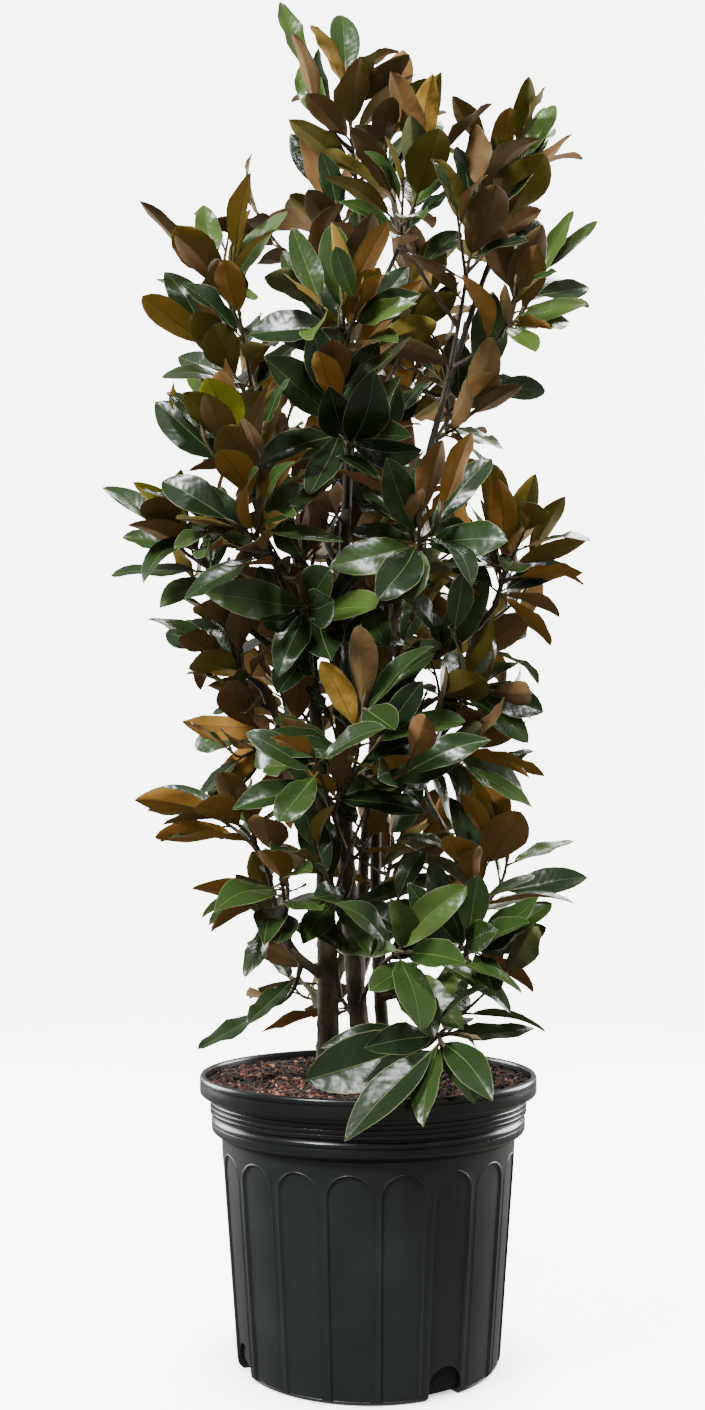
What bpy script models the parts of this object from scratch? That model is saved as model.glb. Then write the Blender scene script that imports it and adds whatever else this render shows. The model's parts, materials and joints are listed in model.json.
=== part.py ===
"""Potted little gem magnolia: a clump of four upright stems in a fluted nursery pot.

Metres, +Z up, origin at the centre of the pot's flat underside, front towards -Y.
"""

import math
import random
from collections import namedtuple

import bmesh
import bpy
from mathutils import Matrix, Vector
from mathutils.bvhtree import BVHTree

# Pot
RIM_RADIUS = 0.215
POT_HEIGHT = 0.3525
LIP_HEIGHT = 0.024
BODY_TOP_RADIUS = 0.187
BODY_TOP = 0.2765
BODY_FOOT_RADIUS = 0.1645
FOOT_HEIGHT = 0.006
UNDERSIDE_RADIUS = 0.158
WALL = 0.003
POT_SIDES = 36

# Flutes and drain holes of the pot
FLUTES = 18
FLUTE_PHASE = -77.5
FLUTE_HALF_ANGLE = 8.15
FLUTE_DEPTH = 0.002
FLUTE_CROWN = 0.261
FLUTE_FOOT = 0.004
ARCH_STEPS = 6
HOLE_STEPS = 4
HOLE_FLUTES = (1, 5, 10, 14)
HOLE_WIDTH = 0.046
HOLE_HEIGHT = 0.037

# Potting mix
GROUND = 0.344
FLAT_RADIUS = 0.095
LUMP = 0.0022
LUMPY_RINGS = (0.74,)
EDGE_DROP = 0.003
CLEAR = 0.0003
PLUG_CLEAR = 0.0005

# Limbs
STEM_SIDES = 6
BOUGH_SIDES = 5
STEM_STEPS = 9
BOUGH_STEPS = 4
FLARE = 0.45
FLARE_HEIGHT = 0.022
BOUGH_TIP_RADIUS = 0.0034
BOUGH_PULL = 0.25
BOUGH_LIFT = 0.20

# Shoots and leaves
TWIG_SIDES = 3
TWIG_RADIUS = 0.0034
TWIG_TIP_RADIUS = 0.0017
SHOOT_STEPS = 3
SHOOT_PULL = 0.45
SIDE_SHOOT_AT = (0.42, 0.60)
SIDE_TWIG_SHARE = 0.8
LEAF_LENGTH = 0.128
LEAF_WIDTH = 0.052
LEAF_SIZES = (0.88, 1.08)
LEAF_WIDTHS = (0.90, 1.14)
LEAF_CURLS = (0.05, 0.26)
LEAF_CUP = 0.10
LEAF_BEND = 0.55
KEEL_SHARE = 0.15
KEEL_HALF = 0.0014
MAIN_LEAVES = 7
SIDE_LEAVES = 3
GOLDEN_ANGLE = 137.5
LEAFY_LENGTH = 0.105
INNER_ANGLE = 15
OUTER_ANGLE_LOW = 74
OUTER_ANGLE_HIGH = 50
LEAF_GAP = 0.0007
ROOT_SHARE = 0.24
NEAR = 0.26
TURN_JITTER = 9
LEAN_JITTER = 7
TRIES = ((0, 0), (26, -3), (-26, -3), (48, 6), (-48, 6), (14, 16), (-14, 16), (70, 0), (-70, 0))
POSED_CURL = 0.08
POSED_TRIES = ((0, 0), (5, 0), (-5, 0), (0, 5), (0, -5), (9, 4), (-9, 4), (9, -5), (-9, -5), (15, 0),
               (-15, 0), (0, 11), (0, -11), (22, 8), (-22, 8), (30, -8), (-30, -8))
SEED = 4100

Stem = namedtuple("Stem", "name base lower upper tip base_radius tip_radius")
Bough = namedtuple("Bough", "name limb at azimuth reach height radius")
Mass = namedtuple("Mass", "name limb at azimuth reach height rise turn sides seed")
Slot = namedtuple("Slot", "root axis side turn lean roll sky length width curl")
Leaf = namedtuple("Leaf", "root along normal length width curl")

# Each stem is one curve from its base, by a lower and an upper pull, to its tip.
STEMS = (
    Stem("stem_main", (-0.004, 0.000), (-0.045, 0.000, 0.70), (-0.045, 0.000, 1.05),
         (0.000, 0.010, 1.42), 0.0135, 0.0048),
    Stem("stem_left", (-0.050, -0.020), (-0.055, -0.022, 0.67), (-0.060, 0.050, 1.00),
         (-0.168, -0.012, 1.33), 0.0150, 0.0040),
    Stem("stem_right", (0.025, 0.022), (-0.015, 0.022, 0.72), (0.025, 0.050, 1.06),
         (0.176, 0.022, 1.46), 0.0090, 0.0036),
    Stem("stem_back", (-0.012, 0.047), (-0.020, 0.060, 0.62), (0.030, 0.130, 0.92),
         (0.045, 0.100, 1.22), 0.0095, 0.0038),
)

# A bough leaves its limb at a share of the limb's run; its tip is given about the pot's axis.
BOUGHS = (
    Bough("bough_left_low", "stem_left", 0.13, -165, 0.120, 0.535, 0.0072),
    Bough("bough_left_mid", "stem_left", 0.40, 180, 0.141, 0.850, 0.0058),
    Bough("bough_left_high", "stem_left", 0.54, -168, 0.194, 0.965, 0.0054),
    Bough("bough_front_left", "stem_main", 0.50, -136, 0.172, 1.010, 0.0058),
    Bough("bough_front_low", "stem_right", 0.05, -53, 0.131, 0.408, 0.0055),
    Bough("bough_right_low", "stem_right", 0.09, -22, 0.132, 0.500, 0.0058),
    Bough("bough_right_fan", "stem_main", 0.36, -8, 0.072, 0.822, 0.0062),
    Bough("bough_right_high", "stem_right", 0.48, -17, 0.172, 0.950, 0.0056),
    Bough("bough_front_mid", "stem_main", 0.56, -63, 0.140, 1.010, 0.0056),
    Bough("bough_front_high", "stem_main", 0.70, -100, 0.118, 1.235, 0.0052),
    Bough("bough_back_low", "stem_back", 0.14, 82, 0.140, 0.560, 0.0056),
    Bough("bough_back_left", "stem_back", 0.34, 130, 0.165, 0.800, 0.0056),
    Bough("bough_back_right", "stem_back", 0.48, 42, 0.172, 0.870, 0.0054),
    Bough("bough_back_high", "stem_main", 0.62, 120, 0.142, 1.120, 0.0054),
)

# A mass of foliage leaves its limb at a share of the limb's run. Azimuth, reach and height
# give the tip of its main shoot, rise the slope there, turn where its side shoots stand, and
# seed how its leaves are turned about their shoots.
MASSES = (
    Mass("leaves_top", "stem_main", 1.00, -152, 0.0325, 1.6975, 85, 91, 2, 291),
    Mass("leaves_top_right", "stem_main", 0.94, -43, 0.1025, 1.5675, 86, 113, 1, 181),
    Mass("leaves_top_left", "stem_main", 0.84, 125, 0.0875, 1.57, 64, 325, 1, 238),
    Mass("leaves_top_back", "stem_main", 0.80, 45, 0.1025, 1.435, 86, 200, 1, 101),
    Mass("leaves_right_leader_tip", "stem_right", 1.00, 1, 0.21, 1.5925, 82, 110, 1, 320),
    Mass("leaves_right_leader_inner", "stem_right", 0.80, -23, 0.1575, 1.5075, 80, 135, 1, 799),
    Mass("leaves_right_leader_outer", "stem_right", 0.86, -6, 0.2325, 1.4075, 78, 102, 1, 427),
    Mass("leaves_right_upper", "stem_right", 0.70, 16, 0.1725, 1.2675, 23, 342, 1, 75),
    Mass("leaves_left_leader_tip", "stem_left", 1.00, -167, 0.21, 1.415, 67, 4, 2, 985),
    Mass("leaves_left_leader_outer", "stem_left", 0.80, -170, 0.225, 1.32, 42, 342, 1, 889),
    Mass("leaves_left_inner", "stem_left", 0.62, 124, 0.1125, 1.1475, 72, 250, 1, 153),
    Mass("leaves_front_high", "bough_front_high", 1.00, -100, 0.19, 1.3025, 64, 60, 2, 0),
    Mass("leaves_front_centre", "bough_front_high", 0.55, -103, 0.185, 1.185, 64, 319, 1, 244),
    Mass("leaves_front_left_upper", "bough_front_left", 1.00, -139, 0.2225, 1.1475, 72, 100, 2, 963),
    Mass("leaves_front_left_lower", "bough_front_left", 0.62, -133, 0.2375, 1.0275, 7, 262, 1, 735),
    Mass("leaves_left_edge", "bough_left_high", 1.00, -163, 0.2475, 1.0525, 59, 193, 1, 90),
    Mass("leaves_front_right_upper", "bough_front_mid", 1.00, -72, 0.1925, 1.03, 74, 30, 1, 777),
    Mass("leaves_right_edge", "bough_right_high", 1.00, -17, 0.195, 1.0175, 69, 340, 2, 755),
    Mass("leaves_left_mid", "bough_left_mid", 1.00, -169, 0.2, 0.9025, 50, 100, 1, 491),
    Mass("leaves_left_mid_low", "bough_left_mid", 0.55, 172, 0.1425, 0.775, -26, 61, 1, 95),
    Mass("leaves_front_mid_left", "stem_main", 0.48, -118, 0.1725, 0.9225, -31, 106, 1, 114),
    Mass("leaves_front_mid", "stem_main", 0.33, -92, 0.175, 0.8075, 52, 330, 1, 993),
    Mass("leaves_right_mid", "bough_right_fan", 1.00, -6, 0.1525, 0.8475, -3, 201, 1, 494),
    Mass("leaves_right_mid_low", "bough_right_fan", 0.60, -18, 0.1375, 0.7675, 22, 202, 1, 15),
    Mass("leaves_front_lower", "stem_main", 0.27, -109, 0.2025, 0.7475, 33, 14, 1, 718),
    Mass("leaves_front_lower_left", "stem_main", 0.17, -118, 0.14, 0.6425, 50, 64, 1, 584),
    Mass("leaves_left_low", "bough_left_low", 1.00, -161, 0.2025, 0.6825, 17, 201, 2, 776),
    Mass("leaves_left_low_front", "bough_left_low", 0.65, -132, 0.16, 0.5975, 28, 128, 1, 620),
    Mass("leaves_left_lowest", "bough_left_low", 0.40, 180, 0.1175, 0.4375, -11, 90, 0, 389),
    Mass("leaves_right_low", "bough_right_low", 1.00, -38, 0.155, 0.5275, 46, 350, 1, 503),
    Mass("leaves_right_low_upright", "bough_right_low", 0.70, -15, 0.16, 0.645, 81, 338, 1, 295),
    Mass("leaves_front_low", "stem_main", 0.08, -75, 0.1725, 0.515, 1, 315, 1, 421),
    Mass("leaves_front_lowest", "bough_front_low", 1.00, -66, 0.205, 0.413, -10, 0, 1, 345),
    Mass("leaves_back_top", "stem_back", 1.00, 67, 0.155, 1.32, 86, 308, 1, 380),
    Mass("leaves_back_high", "bough_back_high", 1.00, 130, 0.225, 1.2875, 69, 240, 1, 402),
    Mass("leaves_back_mid_left", "bough_back_left", 1.00, 129, 0.2075, 0.9, 69, 176, 1, 932),
    Mass("leaves_back_centre", "stem_back", 0.66, 89, 0.22, 0.995, 45, 244, 1, 427),
    Mass("leaves_back_right", "bough_back_right", 1.00, 43, 0.225, 0.965, 59, 219, 1, 145),
    Mass("leaves_back_low", "bough_back_low", 1.00, 79, 0.1975, 0.64, 64, 104, 1, 10),
    Mass("leaves_back_lowest", "stem_back", 0.07, 124, 0.1475, 0.4775, 17, 178, 1, 840),
)

# Leaves posed by hand: number on the mass, turn about the shoot, lean away from it and roll, in
# degrees, then length and width in millimetres.
POSED = {
    "leaves_top": ((0, -92, 89, 8, 100, 34), (1, -71, 3, 140, 106, 45), (2, -154, 57, -40, 118, 36),
        (3, -85, 71, -27, 116, 36), (4, -114, 57, 23, 114, 36), (5, -127, 53, 14, 112, 51),
        (6, 174, 65, 8, 122, 36), (8, -114, 68, 18, 117, 43), (9, -141, 107, 11, 100, 43),
        (10, 131, 10, -50, 113, 36), (11, -110, 35, -83, 119, 36)),
    "leaves_top_right": ((5, -131, 37, 23, 109, 61), (7, -135, 71, 20, 100, 39)),
    "leaves_top_left": ((1, 179, 32, -130, 116, 47), (6, -177, 70, -2, 103, 36),
        (8, -143, 89, -33, 100, 36), (9, -160, 87, -18, 100, 36)),
    "leaves_top_back": ((6, -76, 25, 98, 118, 36),),
    "leaves_right_leader_tip": ((0, -141, 53, 43, 114, 36), (1, -8, 14, -1, 100, 36),
        (3, -99, 57, 19, 116, 34), (6, -117, 44, -4, 116, 62), (7, -163, 60, -22, 100, 36),
        (8, -119, 66, 0, 115, 36)),
    "leaves_right_leader_inner": ((3, 104, 16, -31, 116, 36), (7, -164, 47, -4, 118, 36),
        (8, -26, 64, 25, 100, 34), (9, -9, 78, 45, 100, 36)),
    "leaves_right_leader_outer": ((0, -38, 32, 38, 112, 36), (1, -6, 10, 6, 116, 36),
        (2, -8, 53, 43, 100, 36), (5, 170, 68, 8, 100, 36), (6, 122, 60, -10, 100, 36),
        (8, -175, 55, 15, 131, 45)),
    "leaves_right_upper": ((0, -99, 19, 48, 100, 37), (1, 52, 49, -80, 150, 58),
        (3, 44, 43, -80, 112, 49), (5, -68, 90, 53, 100, 34)),
    "leaves_left_leader_tip": ((0, 34, 31, 39, 100, 38), (2, -163, 31, 7, 107, 53),
        (5, -116, 38, -49, 100, 56), (7, -125, 23, 35, 119, 36), (9, -178, 51, -14, 131, 36),
        (10, -151, 57, -48, 125, 34)),
    "leaves_left_leader_outer": ((1, 15, 19, 60, 121, 47), (2, -161, 29, 7, 131, 44),
        (4, 88, 50, -30, 100, 36), (8, -138, 87, -42, 100, 36)),
    "leaves_front_high": ((0, -81, 36, -24, 119, 36), (1, -134, 12, -66, 122, 36),
        (3, -101, 50, -7, 114, 44), (5, 141, 46, -79, 141, 36), (6, -75, 68, -19, 115, 47),
        (7, -155, 29, 50, 105, 46), (9, -15, 29, 42, 109, 41), (10, 41, 25, 26, 110, 37)),
    "leaves_front_centre": ((1, 24, 15, 0, 100, 38),),
    "leaves_front_left_upper": ((1, -141, 28, -16, 102, 57), (8, -123, 53, 41, 117, 36),
        (9, -173, 78, 17, 100, 61), (10, 63, 33, 29, 100, 36), (11, 171, 41, 52, 132, 60),
        (12, 0, 37, -26, 100, 36)),
    "leaves_front_left_lower": ((0, -77, 56, 29, 112, 48),),
    "leaves_left_edge": ((0, -155, 53, 17, 100, 42), (1, -168, 22, 3, 108, 36),
        (2, 123, 55, -39, 100, 36), (4, 124, 61, -15, 132, 34), (5, -172, 82, -52, 100, 36),
        (7, 167, 20, -84, 114, 36)),
    "leaves_front_right_upper": ((0, -83, 15, -32, 110, 36), (1, -97, 75, 8, 100, 36),
        (3, -29, 72, 11, 116, 49), (5, -65, 113, 38, 100, 36), (6, 35, 52, 19, 100, 41),
        (7, -130, 13, 33, 115, 36), (8, -163, 61, -39, 130, 40), (9, 163, 98, -12, 100, 37)),
    "leaves_right_edge": ((0, -145, 27, 33, 115, 37), (1, -77, 55, -16, 117, 36),
        (3, -37, 48, 64, 100, 37), (4, 103, 68, -60, 100, 37), (5, -26, 111, -16, 100, 36),
        (6, -13, 85, -23, 100, 34), (7, -129, 45, 40, 104, 36), (9, 161, 58, 39, 104, 34),
        (10, -142, 6, -26, 113, 39), (11, -16, 12, -103, 127, 36)),
    "leaves_left_mid": ((0, 87, 63, -18, 100, 37), (5, -124, 108, 52, 100, 36),
        (7, -142, 52, 2, 100, 43)),
    "leaves_left_mid_low": ((3, 84, 131, 109, 116, 55), (7, -178, 25, 68, 100, 38)),
    "leaves_front_mid_left": ((5, -81, 68, 11, 114, 36), (6, -143, 123, 12, 100, 36)),
    "leaves_front_mid": ((0, -122, 69, 29, 100, 40), (1, 56, 22, 138, 115, 37),
        (2, -128, 51, 24, 116, 36), (3, -94, 40, 112, 108, 36), (9, -121, 27, 162, 100, 36)),
    "leaves_right_mid": ((0, -9, 57, -100, 100, 36), (1, -173, 33, 105, 105, 43),
        (8, -108, 28, 25, 112, 36)),
    "leaves_right_mid_low": ((0, -93, 47, -66, 110, 34), (7, 91, 55, -18, 112, 36)),
    "leaves_front_lower": ((0, -5, 25, 48, 100, 36), (1, -74, 116, 2, 100, 36),
        (2, 18, 71, -9, 100, 40), (6, 156, 95, 10, 115, 41), (9, 167, 18, 97, 100, 36)),
    "leaves_front_lower_left": ((6, 26, 65, -17, 100, 36), (7, 64, 106, -14, 100, 36)),
    "leaves_left_low": ((0, -50, 9, 60, 114, 36), (2, 86, 42, -84, 100, 42),
        (6, -101, 90, -84, 100, 37), (8, 9, 51, 11, 115, 36)),
    "leaves_left_low_front": ((0, -27, 112, 98, 107, 36), (2, -45, 66, 95, 119, 36),
        (6, 90, 144, 50, 100, 36), (7, 72, 41, -82, 100, 52)),
    "leaves_left_lowest": ((0, 29, 64, -114, 125, 36), (4, -12, 61, -174, 100, 36)),
    "leaves_right_low": ((1, 8, 95, 28, 118, 36), (4, 26, 52, 58, 100, 36),
        (5, 152, 88, -8, 109, 36), (6, -68, 119, 38, 100, 36), (7, 6, 58, -22, 100, 36),
        (8, 115, 81, -95, 100, 34), (9, 7, 39, 49, 100, 36)),
    "leaves_right_low_upright": ((0, -171, 49, -2, 100, 36), (2, -110, 34, -11, 100, 59),
        (3, 112, 34, -42, 119, 36), (6, 124, 103, -64, 132, 36), (7, -36, 59, 29, 100, 34),
        (8, -64, 44, 106, 128, 40)),
    "leaves_front_low": ((0, -54, 139, 40, 100, 36), (8, 150, 93, 50, 100, 36)),
    "leaves_front_lowest": ((0, -12, 56, 44, 168, 46), (1, 20, 43, 46, 118, 36),
        (2, -30, 77, 21, 166, 66), (3, 72, 44, -17, 105, 37), (4, 140, 96, -51, 125, 36),
        (5, -41, 78, 23, 140, 42), (8, 161, 116, -79, 100, 36), (9, -180, 125, -18, 100, 36)),
    "leaves_back_lowest": ((2, 103, 27, 29, 100, 36),),
}

# Leaves left out where the crown is open, by number on the mass.
LEFT_OUT = {
    "leaves_top_right": (4,), "leaves_right_leader_tip": (4, 9), "leaves_right_leader_inner": (5,),
    "leaves_right_upper": (2,), "leaves_left_leader_tip": (12,), "leaves_left_leader_outer": (0,),
    "leaves_left_mid": (2,), "leaves_left_mid_low": (0,), "leaves_front_lower": (3, 5),
    "leaves_front_lower_left": (3, 4, 8, 9), "leaves_left_low": (4, 5),
    "leaves_left_lowest": (1, 3, 6), "leaves_front_low": (4, 6, 9), "leaves_front_lowest": (6, 7),
}


def new_material(name, colour, roughness):
    """A plain finish: base colour and roughness, no metal."""
    material = bpy.data.materials.new(name)
    material.use_nodes = True
    shader = material.node_tree.nodes["Principled BSDF"]
    shader.inputs["Base Color"].default_value = (*colour, 1.0)
    shader.inputs["Roughness"].default_value = roughness
    shader.inputs["Metallic"].default_value = 0.0
    material.diffuse_color = (*colour, 1.0)
    return material


def pot_plastic():
    return new_material("pot_plastic", (0.012, 0.014, 0.016), 0.42)


def bark_mix():
    return new_material("bark_mix", (0.115, 0.045, 0.028), 0.92)


def stem_bark():
    return new_material("stem_bark", (0.150, 0.105, 0.070), 0.85)


def leaf_green():
    return new_material("leaf_green", (0.024, 0.070, 0.022), 0.34)


def clear_scene():
    for item in list(bpy.data.objects):
        bpy.data.objects.remove(item)


def new_object(name, points, faces, material=None, home=None):
    """A mesh object whose faces point out, linked to the scene or to a given collection."""
    mesh = bpy.data.meshes.new(name)
    mesh.from_pydata([tuple(p) for p in points], [], faces)
    mesh.update()
    shape = bmesh.new()
    shape.from_mesh(mesh)
    bmesh.ops.recalc_face_normals(shape, faces=shape.faces)
    shape.to_mesh(mesh)
    shape.free()
    item = bpy.data.objects.new(name, mesh)
    (home or bpy.context.scene.collection).objects.link(item)
    if material:
        mesh.materials.append(material)
    return item


def shade_round(item, angle=38):
    item.data.shade_smooth()
    item.data.set_sharp_from_angle(angle=math.radians(angle))


def cutter_collection(name):
    """A collection of helpers that only cut or join, and never render."""
    home = bpy.data.collections.new(name)
    bpy.context.scene.collection.children.link(home)
    home.hide_render = True
    return home


def polar(azimuth, reach, height):
    angle = math.radians(azimuth)
    return Vector((reach * math.cos(angle), reach * math.sin(angle), height))


def boolean(item, operation, operand, solver="MANIFOLD"):
    """Runs one Boolean with an object or a collection and keeps its result as the mesh."""
    modifier = item.modifiers.new("join", "BOOLEAN")
    modifier.operation = operation
    modifier.solver = solver
    if isinstance(operand, bpy.types.Collection):
        modifier.operand_type = "COLLECTION"
        modifier.collection = operand
    else:
        modifier.object = operand
    bpy.context.view_layer.update()
    graph = bpy.context.evaluated_depsgraph_get()
    result = bpy.data.meshes.new_from_object(item.evaluated_get(graph))
    item.modifiers.clear()
    item.data = result
    return item


def keep_largest_body(item):
    """Drops loose scraps and fills sealed hollows: one closed body stays."""
    shape = bmesh.new()
    shape.from_mesh(item.data)
    left = set(shape.faces)
    bodies = []
    while left:
        body = {left.pop()}
        edge_of = list(body)
        while edge_of:
            face = edge_of.pop()
            near = {other for edge in face.edges for other in edge.link_faces} & left
            left -= near
            body |= near
            edge_of.extend(near)
        bodies.append(body)
    bodies.sort(key=lambda body: sum(face.calc_area() for face in body))
    for body in bodies[:-1]:
        bmesh.ops.delete(shape, geom=list(body), context="FACES")
    bmesh.ops.triangulate(shape, faces=shape.faces)
    shape.to_mesh(item.data)
    shape.free()


# The pot

def body_radius(height):
    """Outer radius of the tapered body between the foot and the plain band under the rim."""
    share = (height - FOOT_HEIGHT) / (BODY_TOP - FOOT_HEIGHT)
    return BODY_FOOT_RADIUS + share * (BODY_TOP_RADIUS - BODY_FOOT_RADIUS)


def pot_outer_profile():
    """Underside, rounded foot, tapered body, two stepped bands and the lip, as (radius, height)."""
    lip_foot = POT_HEIGHT - LIP_HEIGHT
    return [
        (UNDERSIDE_RADIUS, 0.0),
        (BODY_FOOT_RADIUS - 0.0018, 0.0015),
        (BODY_FOOT_RADIUS, FOOT_HEIGHT),
        (BODY_TOP_RADIUS, BODY_TOP),
        (RIM_RADIUS - 0.0190, BODY_TOP + 0.0055),
        (RIM_RADIUS - 0.0155, BODY_TOP + 0.010),
        (RIM_RADIUS - 0.0155, lip_foot - 0.0285),
        (RIM_RADIUS - 0.0175, lip_foot - 0.0255),
        (RIM_RADIUS - 0.0135, lip_foot - 0.0230),
        (RIM_RADIUS - 0.0135, lip_foot - 0.0020),
        (RIM_RADIUS - 0.0030, lip_foot),
        (RIM_RADIUS, lip_foot + 0.0035),
        (RIM_RADIUS, POT_HEIGHT - 0.0065),
        (RIM_RADIUS - 0.0012, POT_HEIGHT - 0.0022),
        (RIM_RADIUS - 0.0035, POT_HEIGHT),
    ]


def pot_inner_profile():
    """The inside of the wall from the lip down to the floor, as (radius, height)."""
    return [
        (RIM_RADIUS - 0.0065, POT_HEIGHT),
        (RIM_RADIUS - 0.0075, POT_HEIGHT - 0.0160),
        (RIM_RADIUS - 0.0165, POT_HEIGHT - 0.0215),
        (BODY_TOP_RADIUS - WALL, BODY_TOP - 0.002),
        (BODY_FOOT_RADIUS - FLUTE_DEPTH - WALL * 0.6, WALL),
    ]


def turned(profile, sides, phase):
    """A closed turned solid: rings along the profile and a point on the axis at each end."""
    points = [Vector((0, 0, profile[0][1]))]
    for radius, height in profile:
        for side in range(sides):
            points.append(polar(phase + 360 * side / sides, radius, height))
    points.append(Vector((0, 0, profile[-1][1])))
    last = len(points) - 1
    faces = []
    for side in range(sides):
        after = (side + 1) % sides
        faces.append((0, 1 + after, 1 + side))
        top = 1 + (len(profile) - 1) * sides
        faces.append((last, top + side, top + after))
        for ring in range(len(profile) - 1):
            low, high = 1 + ring * sides, 1 + (ring + 1) * sides
            faces.append((low + side, low + after, high + after, high + side))
    return points, faces


def flute_cutter(azimuth, home):
    """A shallow recess with an arched top that follows the taper of the body."""
    arch_rise = BODY_TOP_RADIUS * math.radians(FLUTE_HALF_ANGLE)
    spring = FLUTE_CROWN - arch_rise
    points = []
    for step in range(ARCH_STEPS + 1):
        turn = math.pi * (step / ARCH_STEPS - 0.5)
        bearing = azimuth + FLUTE_HALF_ANGLE * math.sin(turn)
        crown = spring + arch_rise * math.cos(turn)
        for height in (FLUTE_FOOT, crown):
            for offset in (-FLUTE_DEPTH, 0.01):
                points.append(polar(bearing, body_radius(height) + offset, height))
    faces = [(0, 1, 3, 2), tuple(4 * ARCH_STEPS + k for k in (0, 2, 3, 1))]
    for step in range(ARCH_STEPS):
        a, b = 4 * step, 4 * step + 4
        for i, j in ((0, 1), (1, 3), (3, 2), (2, 0)):
            faces.append((a + i, b + i, b + j, a + j))
    return new_object("flute_cutter", points, faces, home=home)


def hole_cutter(azimuth, home):
    """A round-topped opening through the foot of the wall."""
    half = HOLE_WIDTH / 2
    inner, outer = UNDERSIDE_RADIUS - 0.018, BODY_FOOT_RADIUS + 0.02
    ring = [(-half, -0.01), (half, -0.01)]
    for step in range(HOLE_STEPS + 1):
        turn = math.pi * step / HOLE_STEPS
        ring.append((half * math.cos(turn), HOLE_HEIGHT - half + half * math.sin(turn)))
    facing = Matrix.Rotation(math.radians(azimuth), 3, "Z")
    points = [facing @ Vector((depth, x, z)) for depth in (inner, outer) for x, z in ring]
    count = len(ring)
    faces = [tuple(range(count)), tuple(range(2 * count - 1, count - 1, -1))]
    for k in range(count):
        after = (k + 1) % count
        faces.append((k, k + count, after + count, after))
    return new_object("hole_cutter", points, faces, home=home)


def add_boolean_cut(item, name, home):
    modifier = item.modifiers.new(name, "BOOLEAN")
    modifier.operation = "DIFFERENCE"
    modifier.operand_type = "COLLECTION"
    modifier.collection = home


def make_pot():
    profile = pot_outer_profile() + pot_inner_profile()
    item = new_object("pot", *turned(profile, POT_SIDES, FLUTE_PHASE), pot_plastic())
    flutes = cutter_collection("flute_cutters")
    holes = cutter_collection("hole_cutters")
    pitch = 360 / FLUTES
    for flute in range(FLUTES):
        azimuth = FLUTE_PHASE + pitch * flute
        flute_cutter(azimuth, flutes)
        if flute in HOLE_FLUTES:
            hole_cutter(azimuth, holes)
    for cutter in list(flutes.objects) + list(holes.objects):
        cutter.hide_render = True
        cutter.display_type = "WIRE"
    add_boolean_cut(item, "flutes", flutes)
    add_boolean_cut(item, "drain_holes", holes)
    shade_round(item)


# The potting mix

def make_potting_mix():
    """A plug of bark mix: flat under the clump of stems and lumpy out to the wall."""
    draw = random.Random(SEED)
    side = [(radius - PLUG_CLEAR, height + PLUG_CLEAR)
            for radius, height in reversed(pot_inner_profile()[1:])]
    edge = side[-1][0]
    top = [(edge, GROUND - EDGE_DROP)]
    top += [(edge * share, GROUND) for share in LUMPY_RINGS]
    top.append((FLAT_RADIUS, GROUND))
    points, faces = turned(side + top, POT_SIDES, FLUTE_PHASE)
    first_loose = 1 + POT_SIDES * (len(side) + 1)
    last_loose = first_loose + POT_SIDES * len(LUMPY_RINGS)
    for index in range(first_loose, last_loose):
        points[index].z += draw.uniform(-LUMP, LUMP)
    item = new_object("potting_mix", points, faces, bark_mix())
    shade_round(item)


# Limbs

def bezier(knots, t):
    """A point on the curve of any degree through its control knots."""
    level = [Vector(k) for k in knots]
    while len(level) > 1:
        level = [a.lerp(b, t) for a, b in zip(level, level[1:])]
    return level[0]


def tube(run, radii, sides):
    """A closed tube along a run of points, with a flat cap at each end."""
    frame_x = Vector((1, 0, 0))
    points = []
    for index, centre in enumerate(run):
        ahead = run[min(index + 1, len(run) - 1)]
        behind = run[max(index - 1, 0)]
        along = (ahead - behind).normalized()
        frame_x = (frame_x - along * frame_x.dot(along)).normalized()
        frame_y = along.cross(frame_x)
        for side in range(sides):
            turn = 2 * math.pi * side / sides
            spoke = frame_x * math.cos(turn) + frame_y * math.sin(turn)
            points.append(centre + spoke * radii[index])
    faces = [tuple(range(sides - 1, -1, -1))]
    faces.append(tuple(range(len(points) - sides, len(points))))
    for ring in range(len(run) - 1):
        for side in range(sides):
            low = ring * sides
            after = (side + 1) % sides
            faces.append((low + side, low + after, low + sides + after, low + sides + side))
    return points, faces


def stem_shape(stem, extra=0.0):
    """Run and radii of a stem, level at the ground and flared there."""
    ground = Vector((*stem.base, GROUND + CLEAR))
    knots = (ground, stem.lower, stem.upper, stem.tip)
    shares = [0.0, 0.011, 0.028] + [0.06 + 0.94 * k / STEM_STEPS for k in range(STEM_STEPS + 1)]
    run = [bezier(knots, t) for t in shares]
    radii = []
    for t, point in zip(shares, run):
        radius = stem.base_radius + (stem.tip_radius - stem.base_radius) * t ** 0.85
        swell = FLARE * math.exp(-(point.z - ground.z) / FLARE_HEIGHT)
        radii.append(radius * (1 + swell) + extra)
    return knots, run, radii


def bough_knots(start, tip):
    """A bough leaves its limb outwards and turns up towards its tip."""
    lift = Vector((0, 0, BOUGH_LIFT * (tip - start).length))
    return (start, tip - lift - (tip - start) * BOUGH_PULL, tip)


class Limb:
    """A stem or bough: the knots of its curve and how its radius falls along it."""

    def __init__(self, name, knots, run, radii, sides):
        self.name, self.knots, self.run, self.radii, self.sides = name, knots, run, radii, sides

    def point(self, t):
        return bezier(self.knots, t)

    def solid(self, extra=0.0):
        """The limb as a closed tube, or the room it takes with some clearance all round."""
        run = list(self.run)
        run[-1] = run[-1] + (run[-1] - run[-2]).normalized() * extra
        return tube(run, [radius + extra for radius in self.radii], self.sides)


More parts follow.
